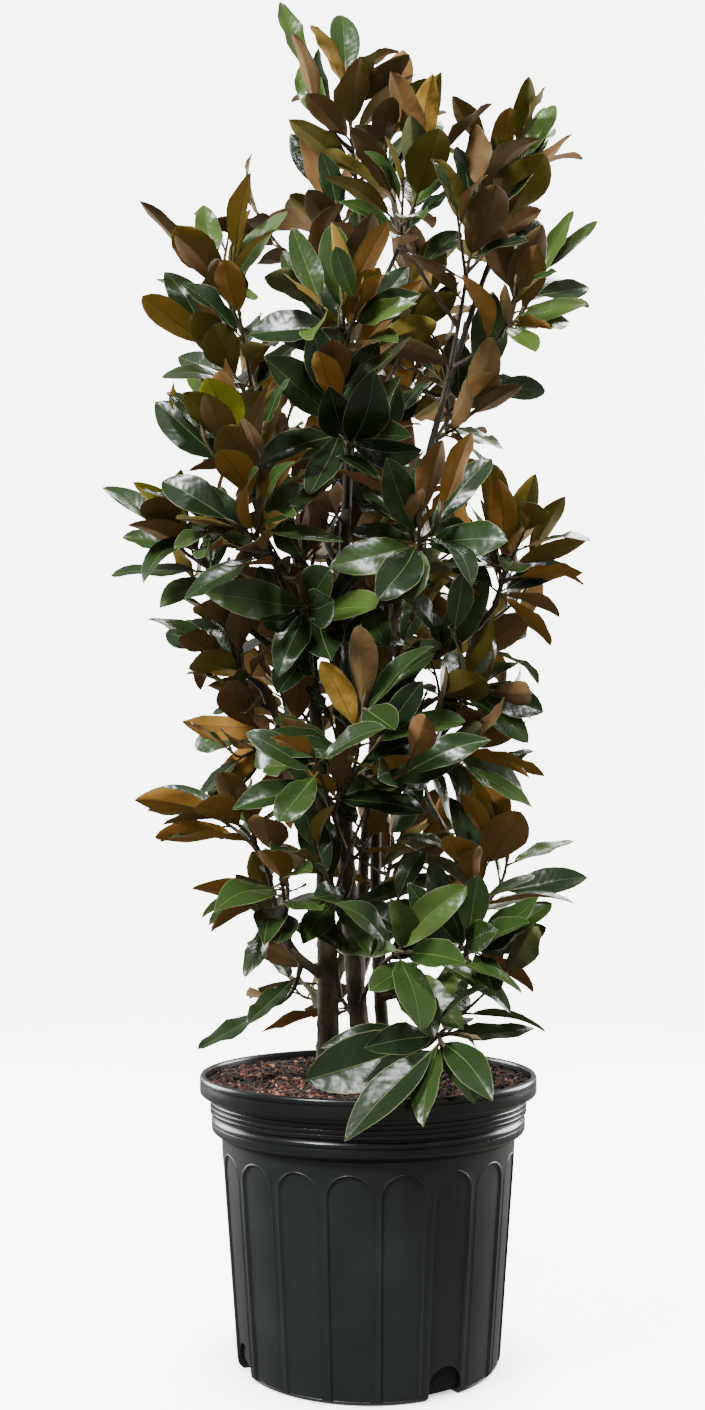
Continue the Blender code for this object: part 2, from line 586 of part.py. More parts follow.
def make_limbs():
    """All stems, then all boughs, each seated clear of the limb that carries it."""
    limbs = {}
    bark = stem_bark()
    for stem in STEMS:
        knots, run, radii = stem_shape(stem)
        limbs[stem.name] = Limb(stem.name, knots, run, radii, STEM_SIDES)
        points, faces = limbs[stem.name].solid()
        level = GROUND + CLEAR
        for point in points[:STEM_SIDES]:
            point.z = level
        shade_round(new_object(stem.name, points, faces, bark))
    for bough in BOUGHS:
        carrier = limbs[bough.limb]
        tip = polar(bough.azimuth, bough.reach, bough.height)
        knots = bough_knots(carrier.point(bough.at), tip)
        shares = [k / BOUGH_STEPS for k in range(BOUGH_STEPS + 1)]
        run = [bezier(knots, t) for t in shares]
        radii = [bough.radius + (BOUGH_TIP_RADIUS - bough.radius) * t for t in shares]
        limbs[bough.name] = Limb(bough.name, knots, run, radii, BOUGH_SIDES)
        item = new_object(bough.name, *limbs[bough.name].solid(), bark)
        seat_on(item, carrier)
        shade_round(item)
    return limbs


def seat_on(item, carrier):
    """Trims a piece so that it ends just clear of the limb that carries it."""
    room = new_object("room", *carrier.solid(CLEAR))
    boolean(item, "DIFFERENCE", room)
    bpy.data.objects.remove(room)
    keep_largest_body(item)


# Shoots and leaves

def shoot_axis(start, tip, rise, bearing):
    """Knots of a shoot that comes into its tip at the given slope."""
    slope = math.radians(rise)
    heading = Vector((math.cos(bearing) * math.cos(slope),
                      math.sin(bearing) * math.cos(slope), math.sin(slope)))
    return (start, tip - heading * (tip - start).length * SHOOT_PULL, tip)


def grow_shoot(knots, count, height_share, draw):
    """Where the leaves of one shoot stand, from the bud down, turned by the golden angle."""
    length = sum((bezier(knots, (k + 1) / 8) - bezier(knots, k / 8)).length for k in range(8))
    outer = OUTER_ANGLE_LOW + (OUTER_ANGLE_HIGH - OUTER_ANGLE_LOW) * height_share
    first_turn = draw.uniform(0, 360)
    slots = []
    for index in range(count):
        share = index / (count - 1)
        t = max(1.0 - LEAFY_LENGTH * (0.05 + 0.95 * share) / length, 0.22)
        axis = (bezier(knots, min(t + 0.05, 1.0)) - bezier(knots, t - 0.05)).normalized()
        turn = first_turn + GOLDEN_ANGLE * index + draw.uniform(-TURN_JITTER, TURN_JITTER)
        lean = INNER_ANGLE + (outer - INNER_ANGLE) * share ** 0.9 + draw.uniform(-LEAN_JITTER, LEAN_JITTER)
        sky = (1 - height_share) * 0.75 * share + 0.08
        size = draw.uniform(*LEAF_SIZES) * (0.74 + 0.26 * min(1.0, index / 3))
        width = LEAF_WIDTH * size * draw.uniform(*LEAF_WIDTHS)
        slots.append(Slot(bezier(knots, t), axis, axis.orthogonal().normalized(), turn, lean, 0.0,
                          sky, LEAF_LENGTH * size, width, draw.uniform(*LEAF_CURLS)))
    return slots


def leaf_in(slot, turn_shift, lean_shift):
    """A leaf in its slot: it leans out from the shoot and shows its upper face inwards."""
    spoke = Matrix.Rotation(math.radians(slot.turn + turn_shift), 3, slot.axis) @ slot.side
    lean = math.radians(slot.lean + lean_shift)
    along = slot.axis * math.cos(lean) + spoke * math.sin(lean)
    normal = slot.axis * math.sin(lean) - spoke * math.cos(lean) + Vector((0, 0, slot.sky))
    normal = (normal - along * normal.dot(along)).normalized()
    normal = Matrix.Rotation(math.radians(slot.roll), 3, along) @ normal
    return Leaf(slot.root, along, normal, slot.length, slot.width, slot.curl)


def posed_slots(name, slots):
    """The slots of a mass as (whether posed, slot), with its posed leaves first."""
    waiting = []
    posed = {row[0]: row[1:] for row in POSED.get(name, ())}
    for number, slot in enumerate(slots):
        if number in posed:
            turn, lean, roll, length, width = posed[number]
            slot = slot._replace(turn=turn, lean=lean, roll=roll, sky=0.0, length=length / 1000,
                                 width=width / 1000, curl=POSED_CURL)
            waiting.append((True, slot))
        elif number not in LEFT_OUT.get(name, ()):
            waiting.append((False, slot))
    return sorted(waiting, key=lambda row: not row[0])


def grow_mass(mass, limbs, draw):
    """The shoots of one mass, as knots, and the leaves on each."""
    carrier = limbs[mass.limb]
    tip = polar(mass.azimuth, mass.reach, mass.height)
    start = carrier.point(mass.at)
    outward = tip - start
    bearing = math.atan2(outward.y, outward.x)
    main = shoot_axis(start, tip, mass.rise, bearing)
    height_share = (mass.height - GROUND) / (MASSES[0].height - GROUND)
    shoots = [(main, grow_shoot(main, MAIN_LEAVES, height_share, draw))]
    for index in range(mass.sides):
        t = SIDE_SHOOT_AT[index] + draw.uniform(-0.04, 0.04)
        fork = bezier(main, t)
        axis = (bezier(main, t + 0.05) - bezier(main, t - 0.05)).normalized()
        level = Vector((0, 0, 1)).cross(axis).normalized()
        turn = math.radians(mass.turn + 180 * index + draw.uniform(-20, 20))
        spoke = Matrix.Rotation(turn, 3, axis) @ level
        run = (tip - fork).length * draw.uniform(0.80, 0.95) + 0.02
        end = fork + (axis * 0.80 + spoke * 0.62).normalized() * run
        side = shoot_axis(fork, end, mass.rise, math.atan2(end.y - fork.y, end.x - fork.x))
        shoots.append((side, grow_shoot(side, SIDE_LEAVES, height_share, draw)))
    return shoots


def shoot_solid(knots, base_radius, extra=0.0):
    shares = [k / SHOOT_STEPS for k in range(SHOOT_STEPS + 1)]
    run = [bezier(knots, t) for t in shares]
    radii = [base_radius + (TWIG_TIP_RADIUS - base_radius) * t + extra for t in shares]
    return tube(run, radii, TWIG_SIDES)


def leaf_solid(leaf, extra=0.0, start=0.0):
    """A pointed blade with a keel: its outline, one crest above and one below."""
    across = leaf.along.cross(leaf.normal)
    half = leaf.width / 2 + extra
    crest = max(start, KEEL_SHARE)
    droop = -leaf.curl * leaf.length

    def place(share, side, lift):
        bend = droop * share * share * LEAF_BEND
        return (leaf.root + leaf.along * (share * leaf.length)
                + across * side + leaf.normal * (lift + bend))

    cup = leaf.width * LEAF_CUP
    points = [
        place(start, 0, 0),
        place(0.36, -half * 0.92, cup), place(0.36, half * 0.92, cup),
        place(0.70, -half * 0.84, cup), place(0.70, half * 0.84, cup),
        place(1.0 + extra / leaf.length, 0, 0),
        place(crest, 0, KEEL_HALF + extra), place(crest, 0, -KEEL_HALF - extra),
    ]
    faces = [(0, 1, 6), (6, 1, 3), (6, 3, 5), (6, 5, 4), (6, 4, 2), (6, 2, 0),
             (0, 7, 1), (7, 3, 1), (7, 5, 3), (7, 4, 5), (7, 2, 4), (7, 0, 2)]
    return points, faces


def tree_of(solid):
    points, faces = solid
    return BVHTree.FromPolygons([tuple(p) for p in points], faces)


def touches(tree, others):
    return any(tree.overlap(other) for other in others)


class Space:
    """What stands in the crown so far, so that each new leaf can be tried for room."""

    def __init__(self, fixed):
        self.fixed = fixed
        self.owned = []

    def add(self, owner, centre, whole, blade):
        self.owned.append((owner, centre, whole, blade))

    def has_room(self, owner, leaf):
        """Clear of limbs and other masses, and its blade clear of its own shoots and leaves."""
        centre = leaf.root + leaf.along * leaf.length / 2
        whole = tree_of(leaf_solid(leaf, LEAF_GAP))
        blade = tree_of(leaf_solid(leaf, LEAF_GAP, ROOT_SHARE))
        if touches(whole, self.fixed):
            return False
        for other, place, other_whole, other_blade in self.owned:
            if (place - centre).length > NEAR:
                continue
            if other == owner and blade.overlap(other_blade):
                return False
            if other != owner and whole.overlap(other_whole):
                return False
        return True


def plan_foliage(limbs):
    """Shoots and leaves of every mass. A side shoot or leaf with no room is left out, and the
    leaves are dealt in turn so that the masses share the space."""
    limb_trees = [tree_of(limb.solid(LEAF_GAP)) for limb in limbs.values()]
    rim = [(RIM_RADIUS, GROUND - 0.1), (RIM_RADIUS, POT_HEIGHT)]
    space = Space(limb_trees + [tree_of(turned(rim, POT_SIDES, FLUTE_PHASE))])
    plans = []
    for index, mass in enumerate(MASSES):
        kept = []
        for knots, slots in grow_mass(mass, limbs, random.Random(SEED + mass.seed)):
            twig = tree_of(shoot_solid(knots, TWIG_RADIUS, LEAF_GAP))
            foreign = [row[2] for row in space.owned if row[0] != index]
            if kept and touches(twig, limb_trees + foreign):
                continue
            kept.append((knots, slots))
            space.add(index, knots[1], twig, twig)
        waiting = posed_slots(mass.name, [slot for _, slots in kept for slot in slots])
        plans.append({"mass": mass, "shoots": [knots for knots, _ in kept],
                      "waiting": waiting, "leaves": []})
    for posed in (True, False):
        for turn in range(MAIN_LEAVES + 2 * SIDE_LEAVES):
            for owner, plan in enumerate(plans):
                if turn < len(plan["waiting"]) and plan["waiting"][turn][0] == posed:
                    tries = POSED_TRIES if posed else TRIES
                    place_leaf(plan, owner, plan["waiting"][turn][1], space, tries)
    return plans


def place_leaf(plan, owner, slot, space, tries):
    """Tries a leaf as it grows, then turned a little about its shoot, and skips it if need be."""
    for turn_shift, lean_shift in tries:
        leaf = leaf_in(slot, turn_shift, lean_shift)
        if space.has_room(owner, leaf):
            plan["leaves"].append(leaf)
            space.add(owner, leaf.root + leaf.along * leaf.length / 2,
                      tree_of(leaf_solid(leaf)), tree_of(leaf_solid(leaf, 0.0, ROOT_SHARE)))
            return


def make_mass(plan, limbs, green):
    """One closed solid: the stem, its side shoots and leaves joined, clear of its limb."""
    mass = plan["mass"]
    home = cutter_collection(mass.name + "_pieces")
    main, *sides = plan["shoots"]
    item = new_object(mass.name, *shoot_solid(main, TWIG_RADIUS), green)
    for knots in sides:
        new_object("side_shoot", *shoot_solid(knots, TWIG_RADIUS * SIDE_TWIG_SHARE), home=home)
    for leaf in plan["leaves"]:
        new_object("leaf", *leaf_solid(leaf), home=home)
    boolean(item, "UNION", home)
    for piece in list(home.objects):
        bpy.data.objects.remove(piece)
    bpy.data.collections.remove(home)
    seat_on(item, limbs[mass.limb])
    item.data.materials.clear()
    item.data.materials.append(green)


def build():
    clear_scene()
    make_pot()
    make_potting_mix()
    limbs = make_limbs()
    green = leaf_green()
    for plan in plan_foliage(limbs):
        make_mass(plan, limbs, green)


build()
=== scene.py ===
"""Potted little gem magnolia, dressed: glossy leaves with rusty undersides, finer twigs, bark with
relief, a fluted nursery pot and loose bark mix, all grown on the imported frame.
"""

import json
import math
import random
from collections import namedtuple

import bpy
import numpy as np
from mathutils import Matrix, Vector, noise
from mathutils.bvhtree import BVHTree
from mathutils.kdtree import KDTree

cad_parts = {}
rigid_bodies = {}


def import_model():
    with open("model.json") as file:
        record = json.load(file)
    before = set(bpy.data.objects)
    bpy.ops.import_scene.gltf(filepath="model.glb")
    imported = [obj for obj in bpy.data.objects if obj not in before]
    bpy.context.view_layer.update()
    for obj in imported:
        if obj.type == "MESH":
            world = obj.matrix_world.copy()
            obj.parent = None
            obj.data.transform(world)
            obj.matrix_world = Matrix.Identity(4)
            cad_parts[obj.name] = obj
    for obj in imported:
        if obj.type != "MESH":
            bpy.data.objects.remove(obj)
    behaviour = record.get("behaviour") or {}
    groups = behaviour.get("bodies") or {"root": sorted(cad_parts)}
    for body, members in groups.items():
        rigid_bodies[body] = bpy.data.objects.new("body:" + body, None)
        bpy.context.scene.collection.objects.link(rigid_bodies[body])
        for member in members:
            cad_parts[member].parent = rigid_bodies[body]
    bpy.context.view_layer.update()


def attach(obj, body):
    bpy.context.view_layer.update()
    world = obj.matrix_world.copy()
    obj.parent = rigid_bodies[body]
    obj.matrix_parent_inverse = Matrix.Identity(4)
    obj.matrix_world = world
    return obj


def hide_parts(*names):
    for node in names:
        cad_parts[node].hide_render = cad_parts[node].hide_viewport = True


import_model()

# Shared with the source

# Pot
RIM_RADIUS = 0.215
POT_HEIGHT = 0.3525
BODY_TOP_RADIUS = 0.187
BODY_TOP = 0.2765
BODY_FOOT_RADIUS = 0.1645
FOOT_HEIGHT = 0.006
UNDERSIDE_RADIUS = 0.158
WALL = 0.003
POT_SIDES = 36

# Flutes and drain holes of the pot
FLUTES = 18
FLUTE_PHASE = -77.5
FLUTE_HALF_ANGLE = 8.15
FLUTE_DEPTH = 0.002
FLUTE_CROWN = 0.261
FLUTE_FOOT = 0.004
HOLE_FLUTES = (1, 5, 10, 14)
HOLE_WIDTH = 0.046
HOLE_HEIGHT = 0.037

# Potting mix
GROUND = 0.344
CLEAR = 0.0003

# Limbs
STEM_SIDES = 6
BOUGH_SIDES = 5
STEM_STEPS = 9
BOUGH_STEPS = 4
STEM_TAPER = 0.85
FLARE = 0.45
FLARE_HEIGHT = 0.022
BOUGH_TIP_RADIUS = 0.0034
BOUGH_PULL = 0.25
BOUGH_LIFT = 0.20

# Shoots and leaves
TWIG_SIDES = 3
TWIG_RADIUS = 0.0034
TWIG_TIP_RADIUS = 0.0017
SHOOT_STEPS = 3
SHOOT_PULL = 0.45
SIDE_SHOOT_AT = (0.42, 0.60)
SIDE_TWIG_SHARE = 0.8
LEAF_LENGTH = 0.128
LEAF_WIDTH = 0.052
LEAF_SIZES = (0.88, 1.08)
LEAF_WIDTHS = (0.90, 1.14)
LEAF_CURLS = (0.05, 0.26)
LEAF_CUP = 0.10
LEAF_BEND = 0.55
KEEL_SHARE = 0.15
KEEL_HALF = 0.0014
MAIN_LEAVES = 7
SIDE_LEAVES = 3
GOLDEN_ANGLE = 137.5
LEAFY_LENGTH = 0.105
INNER_ANGLE = 15
OUTER_ANGLE_LOW = 74
OUTER_ANGLE_HIGH = 50
LEAF_GAP = 0.0007
ROOT_SHARE = 0.24
NEAR = 0.26
LEAF_NEAR = 0.14
TURN_JITTER = 9
LEAN_JITTER = 7
TRIES = ((0, 0), (26, -3), (-26, -3), (48, 6), (-48, 6), (14, 16), (-14, 16), (70, 0), (-70, 0))
POSED_CURL = 0.08
POSED_TRIES = ((0, 0), (5, 0), (-5, 0), (0, 5), (0, -5), (9, 4), (-9, 4), (9, -5), (-9, -5),
               (15, 0), (-15, 0), (0, 11), (0, -11), (22, 8), (-22, 8), (30, -8), (-30, -8))
SEED = 4100
CHIP_DRAWS = 51
ZONE_DRAWS = 300
SPRAY_DRAWS = 7000
LIMB_DRAWS = 8000

# Camera and photograph
CAMERA_PLACE = (-0.0200, -1.8511, 0.6308)
CAMERA_PITCH = 6.0
CAMERA_LENS = 36.0
CAMERA_SENSOR = 36.0

# Growth beyond the source
OLDER_LEAVES = 4
SIDE_MORE = 3
FINE_TWIGS = (1, 2)
FINE_LENGTH = (0.055, 0.105)
FINE_LEAVES = (4, 6)
FINE_SCALE = (0.72, 0.92)
LIMB_SPACING = 0.062
LIMB_FOOT = 0.20
REACH_GAP = 0.080
FRONT_GAP = 0.030
FRONT_SHARES = (0.3, 0.55, 0.8, 1.0)
FINE_TRIES = ((0, 0), (30, 4), (-30, 4), (60, -4), (-60, -4))
FINE_RADIUS = 0.0024
FINE_TIP_RADIUS = 0.0013
BUD_LENGTHS = (0.014, 0.024)
BUD_RADIUS = 0.0030
FINE_BUD_LENGTHS = (0.009, 0.015)
FINE_BUD_RADIUS = 0.0022

# Leaf mesh
STATIONS = (0.0, 0.05, 0.13, 0.24, 0.37, 0.50, 0.63, 0.76, 0.87, 0.95, 1.0)
PETIOLE_SHARE = 0.12
RIB_HALF = 0.0006
BLADE_THICK = 0.0009
EDGE_OUT = 0.0002
LEAF_SHARP = 48

# Openings of the crown as seen from the front: left-right, height and radius, in mm. The
# first ones keep the stems in sight.
OPENINGS = [tuple(value / 1000 for value in row) for row in (
    (-13, 750, 18), (-15, 720, 18), (-15, 690, 18), (-14, 660, 18), (-12, 630, 18), (-11, 600, 17),
    (0, 500, 17), (0, 470, 18), (-2, 440, 18), (10, 640, 14), (10, 610, 12), (-26, 480, 14),
    (-26, 510, 14), (-310, 974, 30), (-284, 1168, 30), (-132, 1555, 28), (190, 1205, 25),
    (207, 1162, 25), (269, 971, 24), (242, 670, 23), (-236, 746, 22), (-227, 613, 22),
    (270, 1531, 23), (267, 1084, 22), (-180, 524, 19), (-205, 1532, 19), (269, 1639, 19),
    (268, 628, 18), (-326, 1023, 17), (75, 1720, 18), (241, 1128, 17), (213, 717, 16),
    (-293, 1408, 17), (220, 888, 16), (-71, 506, 16), (-128, 1594, 17), (214, 1231, 16),
    (197, 1287, 16), (-275, 989, 16), (-135, 1516, 16), (240, 931, 15), (39, 575, 14),
    (116, 1499, 15), (120, 1445, 15), (193, 492, 14), (-199, 600, 14), (-105, 1696, 14),
    (290, 1419, 14), (256, 1500, 14), (-251, 1154, 13), (171, 1655, 14), (159, 1213, 13),
    (195, 1679, 13), (124, 1419, 13), (141, 853, 12), (242, 619, 12), (254, 566, 12),
    (113, 1636, 12), (239, 967, 12), (-188, 759, 12), (-322, 1066, 12), (191, 726, 12),
    (-279, 674, 12), (112, 1687, 12), (-89, 435, 16), (-85, 484, 18), (-77, 528, 14),
    (-49, 439, 12), (32, 653, 12), (-65, 672, 12), (-139, 724, 14), (-243, 788, 14), (82, 868, 14),
    (131, 863, 13), (177, 737, 15), (194, 701, 13), (102, 1471, 14), (-76, 1480, 10),
    (-266, 1218, 14), (-213, 701, 12), (154, 439, 17), (189, 488, 14), (-89, 606, 14),
    (-60, 501, 13), (-60, 1725, 10), (173, 1624, 12), (163, 399, 12), (-154, 554, 10),
    (-78, 1733, 16), (-47, 1735, 12), (173, 651, 10), (144, 423, 12),
)]

Stem = namedtuple("Stem", "name base lower upper tip base_radius tip_radius")
Bough = namedtuple("Bough", "name limb at azimuth reach height radius")
Mass = namedtuple("Mass", "name limb at azimuth reach height rise turn sides seed")
Slot = namedtuple("Slot", "root axis side turn lean roll sky length width curl")
Leaf = namedtuple("Leaf", "root along normal length width curl")

# Each stem is one curve from its base, by a lower and an upper pull, to its tip.
STEMS = (
    Stem("stem_main", (-0.004, 0.000), (-0.045, 0.000, 0.70), (-0.045, 0.000, 1.05),
         (0.000, 0.010, 1.42), 0.0135, 0.0048),
    Stem("stem_left", (-0.050, -0.020), (-0.055, -0.022, 0.67), (-0.060, 0.050, 1.00),
         (-0.168, -0.012, 1.33), 0.0150, 0.0040),
    Stem("stem_right", (0.025, 0.022), (-0.015, 0.022, 0.72), (0.025, 0.050, 1.06),
         (0.176, 0.022, 1.46), 0.0090, 0.0036),
    Stem("stem_back", (-0.012, 0.047), (-0.020, 0.060, 0.62), (0.030, 0.130, 0.92),
         (0.045, 0.100, 1.22), 0.0095, 0.0038),
)

# A bough leaves its limb at a share of the limb's run; its tip is given about the pot's axis.
BOUGHS = [Bough(*row) for row in (
    ("bough_left_low", "stem_left", 0.13, -165, 0.120, 0.535, 0.0072),
    ("bough_left_mid", "stem_left", 0.40, 180, 0.141, 0.850, 0.0058),
    ("bough_left_high", "stem_left", 0.54, -168, 0.194, 0.965, 0.0054),
    ("bough_front_left", "stem_main", 0.50, -136, 0.172, 1.010, 0.0058),
    ("bough_front_low", "stem_right", 0.05, -53, 0.131, 0.408, 0.0055),
    ("bough_right_low", "stem_right", 0.09, -22, 0.132, 0.500, 0.0058),
    ("bough_right_fan", "stem_main", 0.36, -8, 0.072, 0.822, 0.0062),
    ("bough_right_high", "stem_right", 0.48, -17, 0.172, 0.950, 0.0056),
    ("bough_front_mid", "stem_main", 0.56, -63, 0.140, 1.010, 0.0056),
    ("bough_front_high", "stem_main", 0.70, -100, 0.118, 1.235, 0.0052),
    ("bough_back_low", "stem_back", 0.14, 82, 0.140, 0.560, 0.0056),
    ("bough_back_left", "stem_back", 0.34, 130, 0.165, 0.800, 0.0056),
    ("bough_back_right", "stem_back", 0.48, 42, 0.172, 0.870, 0.0054),
    ("bough_back_high", "stem_main", 0.62, 120, 0.142, 1.120, 0.0054),
)]

# A mass of foliage leaves its limb at a share of the limb's run. Azimuth, reach and height
# give the tip of its main shoot, rise the slope there, turn where its side shoots stand, and
# seed how its leaves are turned about their shoots. Its name begins with leaves_ in the source.
MASSES = [Mass(*row) for row in (
    ("top", "stem_main", 1.00, -152, 0.0325, 1.6975, 85, 91, 2, 291),
    ("top_right", "stem_main", 0.94, -43, 0.1025, 1.5675, 86, 113, 1, 181),
    ("top_left", "stem_main", 0.84, 125, 0.0875, 1.57, 64, 325, 1, 238),
    ("top_back", "stem_main", 0.80, 45, 0.1025, 1.435, 86, 200, 1, 101),
    ("right_leader_tip", "stem_right", 1.00, 1, 0.21, 1.5925, 82, 110, 1, 320),
    ("right_leader_inner", "stem_right", 0.80, -23, 0.1575, 1.5075, 80, 135, 1, 799),
    ("right_leader_outer", "stem_right", 0.86, -6, 0.2325, 1.4075, 78, 102, 1, 427),
    ("right_upper", "stem_right", 0.70, 16, 0.1725, 1.2675, 23, 342, 1, 75),
    ("left_leader_tip", "stem_left", 1.00, -167, 0.21, 1.415, 67, 4, 2, 985),
    ("left_leader_outer", "stem_left", 0.80, -170, 0.225, 1.32, 42, 342, 1, 889),
    ("left_inner", "stem_left", 0.62, 124, 0.1125, 1.1475, 72, 250, 1, 153),
    ("front_high", "bough_front_high", 1.00, -100, 0.19, 1.3025, 64, 60, 2, 0),
    ("front_centre", "bough_front_high", 0.55, -103, 0.185, 1.185, 64, 319, 1, 244),
    ("front_left_upper", "bough_front_left", 1.00, -139, 0.2225, 1.1475, 72, 100, 2, 963),
    ("front_left_lower", "bough_front_left", 0.62, -133, 0.2375, 1.0275, 7, 262, 1, 735),
    ("left_edge", "bough_left_high", 1.00, -163, 0.2475, 1.0525, 59, 193, 1, 90),
    ("front_right_upper", "bough_front_mid", 1.00, -72, 0.1925, 1.03, 74, 30, 1, 777),
    ("right_edge", "bough_right_high", 1.00, -17, 0.195, 1.0175, 69, 340, 2, 755),
    ("left_mid", "bough_left_mid", 1.00, -169, 0.2, 0.9025, 50, 100, 1, 491),
    ("left_mid_low", "bough_left_mid", 0.55, 172, 0.1425, 0.775, -26, 61, 1, 95),
    ("front_mid_left", "stem_main", 0.48, -118, 0.1725, 0.9225, -31, 106, 1, 114),
    ("front_mid", "stem_main", 0.33, -92, 0.175, 0.8075, 52, 330, 1, 993),
    ("right_mid", "bough_right_fan", 1.00, -6, 0.1525, 0.8475, -3, 201, 1, 494),
    ("right_mid_low", "bough_right_fan", 0.60, -18, 0.1375, 0.7675, 22, 202, 1, 15),
    ("front_lower", "stem_main", 0.27, -109, 0.2025, 0.7475, 33, 14, 1, 718),
    ("front_lower_left", "stem_main", 0.17, -118, 0.14, 0.6425, 50, 64, 1, 584),
    ("left_low", "bough_left_low", 1.00, -161, 0.2025, 0.6825, 17, 201, 2, 776),
    ("left_low_front", "bough_left_low", 0.65, -132, 0.16, 0.5975, 28, 128, 1, 620),
    ("left_lowest", "bough_left_low", 0.40, 180, 0.1175, 0.4375, -11, 90, 0, 389),
    ("right_low", "bough_right_low", 1.00, -38, 0.155, 0.5275, 46, 350, 1, 503),
    ("right_low_upright", "bough_right_low", 0.70, -15, 0.16, 0.645, 81, 338, 1, 295),
    ("front_low", "stem_main", 0.08, -75, 0.1725, 0.515, 1, 315, 1, 421),
    ("front_lowest", "bough_front_low", 1.00, -66, 0.205, 0.413, -10, 0, 1, 345),
    ("back_top", "stem_back", 1.00, 67, 0.155, 1.32, 86, 308, 1, 380),
    ("back_high", "bough_back_high", 1.00, 130, 0.225, 1.2875, 69, 240, 1, 402),
    ("back_mid_left", "bough_back_left", 1.00, 129, 0.2075, 0.9, 69, 176, 1, 932),
    ("back_centre", "stem_back", 0.66, 89, 0.22, 0.995, 45, 244, 1, 427),
    ("back_right", "bough_back_right", 1.00, 43, 0.225, 0.965, 59, 219, 1, 145),
    ("back_low", "bough_back_low", 1.00, 79, 0.1975, 0.64, 64, 104, 1, 10),
    ("back_lowest", "stem_back", 0.07, 124, 0.1475, 0.4775, 17, 178, 1, 840),
)]

